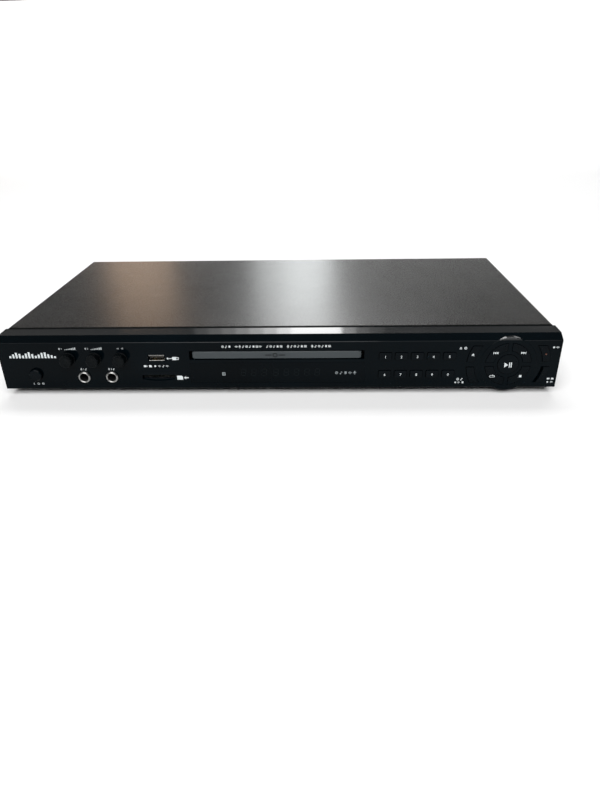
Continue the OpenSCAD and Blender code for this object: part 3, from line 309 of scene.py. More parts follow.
class Finishes:
    """Every finish, made once and kept by name."""

    def __init__(self):
        self.made = {}

    def get(self, name):
        if name not in self.made:
            self.made[name] = self.make(name)
        return self.made[name]

    def make(self, name):
        s = settings("finish")
        gloss = s.panel_gloss
        # colour, roughness, specular, mottle, its mm, grain mm, its depth, spread of roughness
        recipes = {
            "fascia_gloss": (s.panel_colour, gloss, 0.06, 0.25, 60, 1.6, 0.0006, 0.02),
            "key_gloss": (s.panel_colour, gloss + 0.06, 0.07, 0.2, 4, 0.5, 0.0006, 0.03),
            "knob_plastic": ((0.0012, 0.0022, 0.0028), 0.26, 0.075, 0.2, 3, 0.25, 0.006, 0.06),
            "window_smoke": ((0.0005, 0.0018, 0.0028), 0.04, 0.06, 0.3, 50, 4, 0.0003, 0.015),
            "door_grey": (s.door_colour, 0.2, 0.44, 0.06, 40, 0.9, 0.001, 0.03),
            "tray_plastic": ((0.012, 0.013, 0.014), 0.42, 0.4, 0.15, 30, 0.35, 0.012),
            "black_rubber": ((0.011, 0.011, 0.011), 0.78, 0.3, 0.25, 5, 0.4, 0.03),
            "black_plastic": ((0.012, 0.012, 0.013), 0.45, 0.4, 0.15, 12, 0.4, 0.01),
            "sheet_steel": ((0.52, 0.52, 0.50), 0.36, 0.5, 0.12, 9, 0.6, 0.003, 0.08),
            "dark_ink": ((0.003, 0.005, 0.006), 0.4, 0.15, 0.1, 2, 0.15, 0.002),
            "shell_steel": ((0.66, 0.66, 0.64), 0.28, 0.5, 0.1, 6, 0.4, 0.002, 0.06),
            "screw_steel": ((0.10, 0.10, 0.10), 0.34, 0.5, 0.2, 2, 0.3, 0.004),
            "gear_plastic": ((0.62, 0.60, 0.50), 0.42, 0.5, 0.06, 10, 0.5, 0.006),
            "loader_plastic": ((0.025, 0.026, 0.028), 0.5, 0.5, 0.12, 30, 0.5, 0.012),
            "display_glass": ((0.006, 0.009, 0.010), 0.1, 0.5, 0.2, 20, 3, 0.0005),
            "print_ink": (s.ink_colour, 0.5, 0.3, 0.05, 2, 0.15, 0.002),
            "grey_ink": ((0.0016, 0.0038, 0.0048), 0.3, 0.08, 0.3, 6, 0.3, 0.001),
            "faint_ink": ((0.24, 0.27, 0.28), 0.5, 0.3, 0.05, 2, 0.15, 0.002),
            "tongue_plastic": ((0.016, 0.013, 0.008), 0.5, 0.5, 0.15, 3, 0.3, 0.004),
            "ring_metal": ((0.40, 0.40, 0.39), 0.3, 0.5, 0.1, 3, 0.5, 0.0006),
            "gold_contact": ((0.83, 0.61, 0.27), 0.25, 0.5, 0.1, 1, 0.2, 0.001),
            "lamp_amber": ((0.085, 0.026, 0.014), 0.25, 0.5, 0.2, 0.8, 0.2, 0.002),
            "socket_red": ((0.36, 0.018, 0.012), 0.4, 0.5, 0.1, 3, 0.3, 0.006),
            "socket_white": ((0.62, 0.61, 0.57), 0.42, 0.5, 0.06, 3, 0.3, 0.006),
            "socket_yellow": ((0.60, 0.38, 0.02), 0.4, 0.5, 0.1, 3, 0.3, 0.006),
            "socket_green": ((0.02, 0.20, 0.05), 0.4, 0.5, 0.1, 3, 0.3, 0.006),
            "socket_blue": ((0.015, 0.06, 0.30), 0.4, 0.5, 0.1, 3, 0.3, 0.006),
        }
        extras = {
            "fascia_gloss": dict(polish=(POLISHED_ABOVE, 0.45)),
            "sheet_steel": dict(metal=1.0, stretch=(1, 0.15, 1)),
            "shell_steel": dict(metal=1.0, stretch=(1, 0.2, 1)),
            "screw_steel": dict(metal=0.8),
            "ring_metal": dict(metal=1.0),
            "gold_contact": dict(metal=1.0),
        }
        if name in recipes:
            return finish(name, *recipes[name], **extras.get(name, {}))
        if name == "cover_paint":
            return cover_paint()
        if name == "bright_chrome":
            return ridged_metal(name, (0.46, 0.47, 0.48), 0.22, 0.15)
        if name == "board_green":
            return board_finish(name, (0.012, 0.075, 0.028), BOARD_TOP)
        if name == "board_brown":
            return board_finish(name, (0.15, 0.10, 0.045), BOARD_TOP)
        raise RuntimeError(f"no finish is named {name}")


FINISHES = Finishes()


# ---------------------------------------------------------------- mesh helpers


def add_object(name, data):
    """A new object in the scene's own collection."""
    obj = bpy.data.objects.new(name, data)
    bpy.context.scene.collection.objects.link(obj)
    return obj


def smooth_by_angle():
    """A node group that shades smooth, and keeps edges sharper than its angle."""
    name = "smooth_by_angle"
    if name in bpy.data.node_groups:
        return bpy.data.node_groups[name]
    group = bpy.data.node_groups.new(name, "GeometryNodeTree")
    group.interface.new_socket("Geometry", in_out="INPUT", socket_type="NodeSocketGeometry")
    group.interface.new_socket("Geometry", in_out="OUTPUT", socket_type="NodeSocketGeometry")
    source = group.nodes.new("NodeGroupInput")
    faces = group.nodes.new("GeometryNodeSetShadeSmooth")
    edges = group.nodes.new("GeometryNodeSetShadeSmooth")
    faces.domain, edges.domain = "FACE", "EDGE"
    edges.inputs["Shade Smooth"].default_value = False
    angle = group.nodes.new("GeometryNodeInputMeshEdgeAngle")
    sharp = group.nodes.new("FunctionNodeCompare")
    sharp.data_type, sharp.operation = "FLOAT", "GREATER_THAN"
    sharp.inputs["B"].default_value = math.radians(SHARP_DEGREES)
    target = group.nodes.new("NodeGroupOutput")
    for start, end in ((source.outputs[0], faces.inputs["Geometry"]),
                       (faces.outputs[0], edges.inputs["Geometry"]),
                       (angle.outputs["Unsigned Angle"], sharp.inputs["A"]),
                       (sharp.outputs[0], edges.inputs["Selection"]),
                       (edges.outputs[0], target.inputs[0])):
        group.links.new(start, end)
    return group


def round_edges(obj, width, segments=2, angle=24.0):
    """Rounds the hard edges of a CAD node or a piece without touching its mesh."""
    weld = obj.modifiers.new("join_split_corners", "WELD")
    weld.merge_threshold = 0.000002
    bevel = obj.modifiers.new("rounded_edges", "BEVEL")
    bevel.width = width
    bevel.segments = segments
    bevel.limit_method = "ANGLE"
    bevel.angle_limit = math.radians(angle)
    smooth = obj.modifiers.new("smooth_shading", "NODES")
    smooth.node_group = smooth_by_angle()
    weighted = obj.modifiers.new("flat_faces_stay_flat", "WEIGHTED_NORMAL")
    weighted.keep_sharp = True
    weighted.weight = 80
    return obj


def dress(finish_name, *nodes, edge=0.0, segments=2):
    """Gives CAD nodes their finish, and rounded edges if edge is not 0."""
    for node in nodes:
        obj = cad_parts[node]
        obj.data.materials.clear()
        obj.data.materials.append(FINISHES.get(finish_name))
        if edge:
            round_edges(obj, edge, segments)


def piece(name, bm, body, finish_name, replaces=(), edge=0.0, smooth=35.0):
    """Turns a bmesh in the row frame into a piece that rides on a body."""
    bmesh.ops.recalc_face_normals(bm, faces=bm.faces)
    mesh = bpy.data.meshes.new(name)
    bm.to_mesh(mesh)
    bm.free()
    obj = add_object(name, mesh)
    mesh.materials.append(FINISHES.get(finish_name))
    if smooth:
        mesh.shade_smooth()
        mesh.set_sharp_from_angle(angle=math.radians(smooth))
    if edge:
        round_edges(obj, edge)
    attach(obj, body)
    if replaces:
        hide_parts(*replaces)
    return obj


def loft(bm, rings, closed_ring=True, caps=True, joined=False):
    """Skins a list of rings of points; joined also skins from the last ring to the first."""
    made = [[bm.verts.new(p) for p in ring] for ring in rings]
    count = len(made[0])
    for low, high in zip(made, made[1:] + made[:1] if joined else made[1:]):
        for i in range(count if closed_ring else count - 1):
            j = (i + 1) % count
            bm.faces.new((low[i], low[j], high[j], high[i]))
    if caps and not joined:
        bm.faces.new(made[0][::-1])
        bm.faces.new(made[-1])


def polar(radius, angle, along):
    """A point about the +Z axis, given in millimetres."""
    return Vector((radius * math.cos(angle) * MM, radius * math.sin(angle) * MM, along * MM))


def lathe(bm, profile, centre, turn, steps=48, ribs=0, rib_depth=0.0, ribbed=()):
    """A closed turned shape. profile is (radius, along) in mm, from one end round to the other;
    turn maps the shape's +Z to its real axis. A profile whose ends meet makes a ring."""
    ring_shape = profile[0] == profile[-1]
    points = profile[:-1] if ring_shape else profile
    rows = []
    for k, (radius, along) in enumerate(points):
        row = []
        for i in range(steps):
            angle = 2 * math.pi * i / steps
            r = radius
            if ribs and k in ribbed:
                r -= rib_depth * (0.5 - 0.5 * math.cos(ribs * angle)) ** 1.6
            row.append(polar(r, angle, along))
        rows.append(row)
    loft(bm, [[centre + turn @ p for p in row] for row in rows], joined=ring_shape)


TO_FRONT = Matrix.Rotation(math.radians(90), 3, "X")
TO_BACK = Matrix.Rotation(math.radians(-90), 3, "X")


def slab(bm, outline, centre, y0, y1, turn=0.0, scale=1.0):
    """Extrudes an outline in the panel's plane from y0 to y1, in millimetres."""
    c, s = math.cos(turn) * scale, math.sin(turn) * scale
    flat = [(centre[0] + c * x - s * z, centre[1] + s * x + c * z) for x, z in outline]
    loft(bm, [[at(x, y, z) for x, z in flat] for y in (y0, y1)])


def block(bm, x, y, z):
    """A box with ranges in panel millimetres."""
    outline = [(x[0], z[0]), (x[1], z[0]), (x[1], z[1]), (x[0], z[1])]
    slab(bm, outline, (0, 0), y[0], y[1])


def arc(cx, cz, r, start, end, steps=10):
    """Points on an arc, angles in degrees."""
    return [(cx + r * math.cos(math.radians(start + (end - start) * i / steps)),
             cz + r * math.sin(math.radians(start + (end - start) * i / steps)))
            for i in range(steps + 1)]


def band(cx, cz, r, width, start, end, steps=14):
    """A curved stroke as a closed outline."""
    return (arc(cx, cz, r + width / 2, start, end, steps)
            + arc(cx, cz, r - width / 2, end, start, steps))


def hoop(x, z, r, width, steps):
    """A round stroke, as two half rings."""
    return [band(x, z, r, width, start, start + 178, steps) for start in (0, 180)]


def bar(x, z, w, h):
    """A rectangle about a middle point."""
    return [(x - w / 2, z - h / 2), (x + w / 2, z - h / 2), (x + w / 2, z + h / 2),
            (x - w / 2, z + h / 2)]


def wedge(x, z, w, h):
    """A triangle that points to +X from its middle, or to -X if w is negative."""
    return [(x - w / 2, z - h / 2), (x + w / 2, z), (x - w / 2, z + h / 2)]


def round_bar(x, z, w, h, r):
    """A rectangle with round corners."""
    return (arc(x + w / 2 - r, z + h / 2 - r, r, 0, 90, 4)
            + arc(x - w / 2 + r, z + h / 2 - r, r, 90, 180, 4)
            + arc(x - w / 2 + r, z - h / 2 + r, r, 180, 270, 4)
            + arc(x + w / 2 - r, z - h / 2 + r, r, 270, 360, 4))


# ---------------------------------------------------------------- markings

SYMBOLS = {
    "play_pause": [wedge(-1.3, 0, 2.8, 4.2), bar(1.1, 0, 0.75, 4.2), bar(2.5, 0, 0.75, 4.2)],
    "next": [wedge(-1.3, 0, 1.9, 2.2), wedge(0.55, 0, 1.9, 2.2), bar(1.85, 0, 0.5, 2.2)],
    "previous": [wedge(1.3, 0, -1.9, 2.2), wedge(-0.55, 0, -1.9, 2.2), bar(-1.85, 0, 0.5, 2.2)],
    "stop": [bar(0, 0, 2.2, 2.2)],
    "repeat": [band(-1.5, 0, 0.8, 0.42, 90, 270, 10), band(1.5, 0, 0.8, 0.42, -90, 60, 10),
               bar(0, -0.8, 3.0, 0.42), bar(-0.55, 0.8, 1.9, 0.42), wedge(0.95, 0.8, 1.3, 1.5)],
    "eject": [[(-1.3, -0.1), (1.3, -0.1), (0, 1.4)], bar(0, -0.8, 2.6, 0.6)],
    "dot": [arc(0, 0, 1.1, 0, 345, 20)],
    "power": [band(0, 0, 0.85, 0.3, 125, 415, 18), bar(0, 0.75, 0.32, 1.1)],
    "microphone": [round_bar(0, 0.5, 0.9, 1.6, 0.44), band(0, 0.35, 0.95, 0.28, 180, 360, 10),
                   bar(0, -0.95, 0.28, 0.5), bar(0, -1.25, 1.1, 0.28)],
    "volume": [bar(px, h / 2 - 0.9, 0.62, h) for px, h in zip(
        (-3.9, -2.6, -1.3, 0, 1.3, 2.6, 3.9), (0.45, 0.7, 0.95, 1.2, 1.45, 1.7, 1.95))],
    "tray_mark": [bar(-5.2, 0, 4.8, 0.9), bar(5.2, 0, 4.8, 0.9),
                  *hoop(0, 0, 1.5, 0.9, 14)],
    "on_off": [bar(-3.6, 0, 0.32, 1.5), *hoop(3.6, 0, 0.6, 0.3, 10)],
    "plug_lead": [arc(-4.2, 0, 0.75, 0, 340, 12), bar(-2.2, 0, 3.2, 0.5), bar(0.9, 0, 3.0, 2.6),
                  bar(3.3, 0.75, 1.8, 0.5), bar(3.3, -0.75, 1.8, 0.5), bar(4.2, 0, 0.4, 2.0)],
    "card_in": [[(-4.6, -1.7), (0.0, -1.7), (0.0, 0.8), (-0.9, 1.7), (-4.6, 1.7)],
                wedge(1.6, 0, -1.6, 2.6), bar(3.4, 0, 2.2, 0.8)],
    "echo": [band(-1.6, 0, 0.7, 0.35, -50, 50, 8), band(-1.6, 0, 1.6, 0.35, -45, 45, 10),
             band(-1.6, 0, 2.5, 0.35, -36, 36, 12), arc(-1.7, 0, 0.3, 0, 320, 9)],
    "plug": [bar(-0.9, 0, 3.0, 2.5), bar(1.5, 0.65, 1.7, 0.5), bar(1.5, -0.65, 1.7, 0.5),
             bar(2.15, 0, 0.4, 1.8)],
    "card": [[(-2.0, -1.5), (1.7, -1.5), (1.7, 0.5), (0.7, 1.5), (-2.0, 1.5)]],
    "remote_eye": [bar(0, 1.25, 3.0, 0.6), bar(0, -1.25, 3.0, 0.6), bar(-1.25, 0, 0.6, 1.9),
                   bar(1.25, 0, 0.6, 1.9), arc(0, 0, 0.62, 0, 330, 11)],
    "note": [arc(-0.45, -0.8, 0.5, 0, 330, 11), bar(0, 0.1, 0.26, 1.9),
             [(0.0, 1.05), (0.9, 0.6), (0.9, 0.15), (0.0, 0.55)]],
    "disc": [*hoop(0, 0, 0.85, 0.4, 12), arc(0, 0, 0.28, 0, 330, 11)],
    "picture": [bar(0, 0.8, 2.2, 0.3), bar(0, -0.8, 2.2, 0.3), bar(-0.95, 0, 0.3, 1.3),
                bar(0.95, 0, 0.3, 1.3), [(-0.7, -0.55), (0.7, -0.55), (0.15, 0.45)]],
    "film": [bar(0, 0, 1.5, 1.3), *(bar(px, pz, 0.34, 0.34) for px in (-0.6, 0, 0.6)
                                    for pz in (-0.95, 0.95))],
    "wave": [bar(px, 0, 0.3, h) for px, h in zip((-1.2, -0.6, 0, 0.6, 1.2),
                                                 (0.7, 1.5, 2.1, 1.1, 0.5))],
}
# A node that gives x, the height, and each symbol with its place from x and its scale
LABEL_ROWS = (
    ("mic1_knob", KNOB_LABEL_Z, ("microphone", -6.1, 0.62), ("volume", 2.2, 1.0)),
    ("mic2_knob", KNOB_LABEL_Z, ("microphone", -6.1, 0.62), ("volume", 2.2, 1.0)),
    ("echo_knob", KNOB_LABEL_Z, ("echo", -1.2, 0.5), ("echo", 2.2, 0.5)),
    ("power_button", 4.7, ("power", 0, 0.85), ("on_off", 0, 1.0)),
    ("usb_socket", 19.4, ("plug", -9.2, 0.6), ("card", -5.4, 0.6), ("dot", -1.8, 0.7),
     ("wave", 1.6, 0.8), ("note", 4.6, 0.8), ("wave", 7.6, 0.8)),
    ("play_pause_key", 33.0, ("eject", -36.8, 0.7), ("disc", -33.2, 1.0)),
    ("play_pause_key", 7.3, ("disc", -36.6, 0.95), ("note", -33.8, 0.95)),
    ("play_pause_key", 4.5, ("dot", -38.2, 0.6), ("wave", -35.6, 0.8), ("film", -32.6, 0.85)),
    ("play_pause_key", 33.3, ("dot", 32.4, 0.7), ("wave", 35.2, 0.85)),
    ("play_pause_key", 7.4, ("plug", 32.6, 0.5), ("card", 35.6, 0.5)),
    ("play_pause_key", 4.6, ("dot", 32.2, 0.6), ("wave", 35.2, 0.8)),
)
TITLE_ROW = ("disc", "note", "film", "picture", "wave", "microphone", "note")
TITLE_GAPS = (3, 12, 18, 25)
LEVEL_BARS = (1.8, 3.2, 4.6, 3.6, 2.2, 3.8, 5.0, 3.4, 2.0, 3.0, 4.4, 4.8, 3.2, 2.4, 1.6)


def stamp(bm, symbol, x, z, face_y, scale=1.0, turn=0.0):
    """Prints a symbol on a surface that lies at face_y."""
    ink = settings("detail").ink_height / MM
    for outline in SYMBOLS[symbol]:
        slab(bm, outline, (x, z), face_y - ink, face_y + ink / 2, turn, scale)


def write(bm, text, x, z, face_y, height):
    """Prints plain numbers, middle at x and z."""
    ink = settings("detail").ink_height
    curve = bpy.data.curves.new("numbers", "FONT")
    curve.body = text
    curve.align_x, curve.align_y = "CENTER", "CENTER"
    curve.size = height / 0.7
    curve.extrude = ink
    curve.offset = height * 0.012
    curve.resolution_u = 3
    obj = add_object("numbers", curve)
    mesh = bpy.data.meshes.new_from_object(
        obj.evaluated_get(bpy.context.evaluated_depsgraph_get()))
    mesh.transform(Matrix.Translation(at(x, face_y, z)) @ TO_FRONT.to_4x4())
    bm.from_mesh(mesh)
    bpy.data.objects.remove(obj)
    bpy.data.curves.remove(curve)
    bpy.data.meshes.remove(mesh)


# ---------------------------------------------------------------- operators


class MachinePart:
    """What the operators share."""

    bl_options = {"REGISTER", "UNDO"}

    def execute(self, context):
        self.build(settings("detail"))
        return {"FINISHED"}


class MACHINE_OT_case(MachinePart, bpy.types.Operator):
    """Paint the folded cover, plate the chassis and finish the feet"""

    bl_idname = "machine.case"
    bl_label = "Case"

    def build(self, detail):
        dress("cover_paint", "top_cover", edge=detail.sheet_edge)
        dress("sheet_steel", "base_chassis")
        dress("black_rubber", "feet", edge=detail.edge_radius)


class MACHINE_OT_panel(MachinePart, bpy.types.Operator):
    """Finish the glossy front panel, its window and the tray door"""

    bl_idname = "machine.panel"
    bl_label = "Front panel"

    def build(self, detail):
        dress("fascia_gloss", "front_fascia", edge=detail.edge_radius)
        dress("window_smoke", "display_window", edge=detail.edge_radius)
        dress("door_grey", "tray_door", edge=5 * detail.edge_radius, segments=3)
        dress("display_glass", "display_module")
        self.segments()
        x, _, z = middle("tray_door")
        bm = bmesh.new()
        stamp(bm, "tray_mark", x - 1.0, z, front_of("tray_door"))
        piece("door_mark", bm, "tray", "dark_ink", smooth=0)

    def segments(self):
        """The display's unlit segments, just visible in the window."""
        x, _, z = middle("display_window")
        face = front_of("display_window")
        bm = bmesh.new()
        w, h, t, lean = 3.4, 5.6, 0.55, 0.12
        for place in range(8):
            cx = x - 26 + place * 8 + (1.2 if place >= 3 else 0)
            strokes = [bar(0, h / 2, w - 2 * t, t), bar(0, 0, w - 2 * t, t),
                       bar(0, -h / 2, w - 2 * t, t)]
            strokes += [bar(sx * w / 2, sz * h / 4, t, h / 2 - t)
                        for sx in (-1, 1) for sz in (-1, 1)]
            for stroke in strokes:
                slanted = [(px + pz * lean, pz) for px, pz in stroke]
                slab(bm, slanted, (cx, z + 0.3), face - 0.015, face + 0.02)
        piece("display_segments", bm, "case", "grey_ink", smooth=0)
        bm = bmesh.new()
        stamp(bm, "remote_eye", x - 41.4, z - 0.9, face, 0.82)
        for i, symbol in enumerate(("disc", "note", "film", "wave", "microphone")):
            stamp(bm, symbol, x + 46 + 3.5 * i, z - 0.3, face, 1.05)
        piece("window_mark", bm, "case", "faint_ink", smooth=0)


class MACHINE_OT_keys(MachinePart, bpy.types.Operator):
    """Finish every key and print its symbol"""

    bl_idname = "machine.keys"
    bl_label = "Keys"

    def build(self, detail):
        dress("key_gloss", *DIGIT_KEYS, *QUARTER_KEYS, *SIDE_KEYS, "play_pause_key",
              "power_button", edge=detail.edge_radius, segments=3)
        for number, key in enumerate(DIGIT_KEYS):
            x, _, z = middle(key)
            bm = bmesh.new()
            write(bm, str(number), x, z - 0.5, front_of(key), detail.digit_height)
            piece(f"digit_{number}", bm, key, "print_ink", smooth=0)
        x, _, z = middle("play_pause_key")
        self.symbol("play_pause_key", "play_pause", x, z - 0.5, 1.0)
        places = ((10.4, 9.4), (-10.4, 9.4), (-10.8, -9.9), (10.6, -9.9))
        for key, (dx, dz), symbol in zip(
                QUARTER_KEYS, places, ("next", "previous", "repeat", "stop")):
            self.symbol(key, symbol, x + dx, z + dz, 0.85)
        mark_x, mark_z = self.on_side(x, z, 163.5)
        self.symbol("eject_key", "eject", mark_x, mark_z, 0.8)
        mark_x, mark_z = self.on_side(x, z, 17.0)
        bm = bmesh.new()
        lathe(bm, [(0, 0.35), (0.3, 0.33), (0.6, 0.2), (0.7, 0.0), (0.7, -0.4), (0, -0.4)],
              at(mark_x, front_of("record_key"), mark_z), TO_FRONT, 24)
        bmesh.ops.remove_doubles(bm, verts=bm.verts, dist=1e-7)
        piece("record_lamp", bm, "record_key", "lamp_amber")

    def on_side(self, x, z, angle):
        """A point in the middle of a side key."""
        turn = math.radians(angle)
        return x + SIDE_MARK_RADIUS * math.cos(turn), z + SIDE_MARK_RADIUS * math.sin(turn)

    def symbol(self, key, symbol, x, z, scale):
        bm = bmesh.new()
        stamp(bm, symbol, x, z, front_of(key), scale)
        piece(key + "_symbol", bm, key, "print_ink", smooth=0)


class MACHINE_OT_markings(MachinePart, bpy.types.Operator):
    """Print the generic symbols and numbers on the front panel"""

    bl_idname = "machine.markings"
    bl_label = "Panel markings"

    def build(self, detail):
        bm = bmesh.new()
        for node, z, *marks in LABEL_ROWS:
            self.row(bm, middle(node)[0], z, marks)
        for number, knob in enumerate(("mic1_knob", "mic2_knob"), 1):
            write(bm, str(number), middle(knob)[0] - 4.4, KNOB_LABEL_Z, 0, 0.0013)
        jack_low, jack_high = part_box("jack_rings")
        for number, x in enumerate((jack_low.x / MM + 4.7, jack_high.x / MM - 4.7), 1):
            self.row(bm, x, JACK_LABEL_Z, (("microphone", -1.7, 0.66), ("note", 2.0, 0.7)))
            write(bm, str(number), x + 0.2, JACK_LABEL_Z, 0, 0.0014)
        for node, mark, along, down in (("usb_socket", "plug_lead", 12.8, 0.5),
                                        ("card_socket", "card_in", 19.0, 0.8)):
            x, _, z = middle(node)
            self.row(bm, x, z - down, ((mark, along, 1.0),))
        for i in range(32):
            if i not in TITLE_GAPS:
                stamp(bm, TITLE_ROW[i % 7], -40.2 + i * 2.62, 35.3, 0, 0.84)
        for i, height in enumerate(LEVEL_BARS):
            slab(bm, bar(0, height / 2, 1.5, height), (-205.8 + i * 2.5, 26.6),
                 -detail.ink_height / MM, detail.ink_height / MM / 2)
        piece("panel_markings", bm, "case", "print_ink", smooth=0)

    def row(self, bm, x, z, marks):
        """Prints symbols side by side, each given with its place from x and its scale."""
        for symbol, along, scale in marks:
            stamp(bm, symbol, x + along, z, 0, scale)


class MACHINE_OT_knobs(MachinePart, bpy.types.Operator):
    """Turn the fluted volume knobs and dress their shafts and pots"""

    bl_idname = "machine.knobs"
    bl_label = "Knobs"

    def build(self, detail):
        for knob, body in KNOBS.items():
            x, _, z = middle(knob)
            low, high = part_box(knob)
            r = (high.x - low.x) / 2 / MM
            back, front = (high.y - FACE_Y) / MM, front_of(knob)
            length = back - front
            bore = 3.06
            profile = [(bore, 0), (r - 0.55, 0), (r - 0.2, 0.25), (r - 0.05, 0.7),
                       (r - 0.05, 1.5), (r - 0.25, 1.75), (r - 0.3, length - 1.5),
                       (r - 0.45, length - 0.75), (r - 0.95, length - 0.22),
                       (r - 1.5, length - 0.03), (r - 1.9, length), (r - 2.2, length - 0.1),
                       (0.01, length - 0.22), (0.01, length - 2.9), (bore, length - 2.9),
                       (bore, 0)]
            bm = bmesh.new()
            lathe(bm, profile, at(x, back, z), TO_FRONT, 144, 24, 0.55, (5, 6, 7))
            piece(knob, bm, body, "knob_plastic", (knob,), smooth=28)
            bm = bmesh.new()
            slab(bm, bar(-2.6, 0, 3.0, 0.5), (x, z), front + 0.02, front + 0.3,
                 math.radians(-30))
            piece(body + "_pointer", bm, body, "grey_ink")
        dress("screw_steel", "mic1_shaft", "mic2_shaft", "echo_shaft")
        dress("shell_steel", "volume_pots")


class MACHINE_OT_front_sockets(MachinePart, bpy.types.Operator):
    """Finish the jacks and the card slot and build the USB socket"""

    bl_idname = "machine.front_sockets"
    bl_label = "Front sockets"

    def build(self, detail):
        dress("ring_metal", "jack_rings", edge=detail.edge_radius, segments=3)
        dress("black_plastic", "mic_jacks")
        dress("shell_steel", "card_socket")
        low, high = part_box("usb_socket")
        x, _, z = middle("usb_socket")
        y0, y1 = front_of("usb_socket"), (high.y - FACE_Y) / MM
        w, h, wall = (high.x - low.x) / MM - 0.9, (high.z - low.z) / MM - 0.5, 0.35
        bm = bmesh.new()
        outer = [self.mouth(x, z, w - 2 * d, h - 2 * d, 0.5) for d in (0.06, 0.0, 0.0)]
        inner = [self.mouth(x, z, w - 2 * wall - 2 * d, h - 2 * wall - 2 * d, 0.3)
                 for d in (0.0, 0.0, -0.12)]
        rows = [[at(px, y + (3.6 if y < y1 and abs(pz - z) < 1.35 else 0), pz)
                 for px, pz in ring]
                for ring, y in zip(outer + inner, (y0, y0 + 0.08, y1, y1, y0 + 0.2, y0))]
        loft(bm, rows + [rows[0]], caps=False)
        bmesh.ops.remove_doubles(bm, verts=bm.verts, dist=1e-7)
        block(bm, (x - w / 2 + 0.2, x + w / 2 - 0.2), (y1 - 1.1, y1 - 0.05),
              (z - h / 2 + 0.2, z + h / 2 - 0.2))
        piece("usb_shell", bm, "case", "shell_steel", ("usb_socket",))
        bm = bmesh.new()
        tongue = [(x - 5.5, z - 0.1), (x + 5.5, z - 0.1), (x + 5.5, z + 1.5), (x - 5.5, z + 1.5)]
        slab(bm, tongue, (0, 0), y0 + 1.3, y1 - 1.0)
        piece("usb_tongue", bm, "case", "tongue_plastic", edge=0.0001)
        bm = bmesh.new()
        for i in range(4):
            cx = x - 3.5 + i * 7 / 3
            block(bm, (cx - 0.6, cx + 0.6), (y0 + 1.6, y1 - 1.2), (z - 0.2, z - 0.05))
        piece("usb_contacts", bm, "case", "gold_contact", smooth=0)

    def mouth(self, x, z, w, h, r):
        """The shell's outline, with points on its sides where the mouth is cut back."""
        outline = round_bar(x, z, w, h, r)
        return (outline[:10] + [(x - w / 2, z + 1.3), (x - w / 2, z - 1.3)] + outline[10:]
                + [(x + w / 2, z - 1.3), (x + w / 2, z + 1.3)])


class MACHINE_OT_loader(MachinePart, bpy.types.Operator):
    """Finish the disc tray, the loading gears, the traverse and the clamp"""

    bl_idname = "machine.loader"
    bl_label = "Disc loader"

    def build(self, detail):
        dress("tray_plastic", "disc_tray", "clamp_puck", edge=detail.edge_radius)
        dress("loader_plastic", "loader_frame")
        dress("gear_plastic", "pulley_gear", "tray_gear", "motor_pulley")
        dress("shell_steel", "clamp_bridge", "traverse_frame", "loading_motor", "traverse_motors")
        dress("black_plastic", "turntable", "optical_pickup", edge=detail.edge_radius)
        dress("bright_chrome", "guide_rods", "lead_screw")
        dress("black_rubber", "loading_belt")


class MACHINE_OT_boards(MachinePart, bpy.types.Operator):
    """Finish the circuit boards and switches inside"""

    bl_idname = "machine.boards"
    bl_label = "Circuit boards"

    def build(self, detail):
        dress("board_green", "main_board", "front_boards")
        dress("board_brown", "power_board")
        dress("black_plastic", "key_switches")


def islands(node):
    """The separate solids of a CAD node: the lowest and highest corner of each."""
    bm = bmesh.new()
    bm.from_mesh(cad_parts[node].data)
    bmesh.ops.remove_doubles(bm, verts=bm.verts, dist=1e-6)
    left, found = set(bm.verts), []
    while left:
        stack, seen = [left.pop()], []
        while stack:
            v = stack.pop()
            seen.append(v.co.copy())
            for e in v.link_edges:
                other = e.other_vert(v)
                if other in left:
                    left.remove(other)
                    stack.append(other)
        found.append((Vector(map(min, *seen)), Vector(map(max, *seen))))
    bm.free()
    return sorted(found, key=lambda box: tuple(round(c, 5) for c in box[0]))


class MACHINE_OT_screws(MachinePart, bpy.types.Operator):
    """Build pan-head screws with a cross recess where the CAD screws are"""

    bl_idname = "machine.screws"
    bl_label = "Screws"

    def build(self, detail):
        bm = bmesh.new()
        for low, high in islands("screws"):
            size, mid = high - low, (low + high) / 2
            axis = max(range(3), key=lambda k: abs(size[k] - SCREW_HEAD_MM * MM))
            outward = Vector((0, 0, 0))
            if axis == 0:
                outward.x = 1 if mid.x > 0 else -1
            elif axis == 2:
                outward.z = 1
            else:
                outward.y = 1
            self.screw(bm, mid, size[axis] / MM, outward)
        piece("machine_screws", bm, "case", "screw_steel", ("screws",))

    def screw(self, bm, mid, length, outward):
        """One screw along outward, with its middle at mid."""
        turn = outward.to_track_quat("Z", "Y").to_matrix()
        end = length / 2
        seat = end - 1.3
        r, shank, slot_r, slot_w, slot_d = 2.9, 1.4, 1.55, 0.24, 0.75
        angles = [2 * math.pi * i / 32 for i in range(32)]
        profile = [(shank, -end), (shank, seat), (r, seat), (r, seat + 0.35),
                   (r - 0.35, end - 0.42), (r - 1.0, end - 0.1), (slot_r + 0.1, end)]
        rings = [[mid + turn @ polar(radius, angle, along) for angle in angles]
                 for radius, along in profile]
        for depth, shrink in ((end, 1.0), (end - slot_d, 0.55)):
            ring = []
            for angle in angles:
                c, s = abs(math.cos(angle)), abs(math.sin(angle))
                reach = min(slot_r, slot_w / max(min(c, s), 1e-6)) * shrink
                reach = max(reach, slot_w * 1.42 * shrink)
                ring.append(mid + turn @ polar(reach, angle, depth))
            rings.append(ring)
        loft(bm, rings)


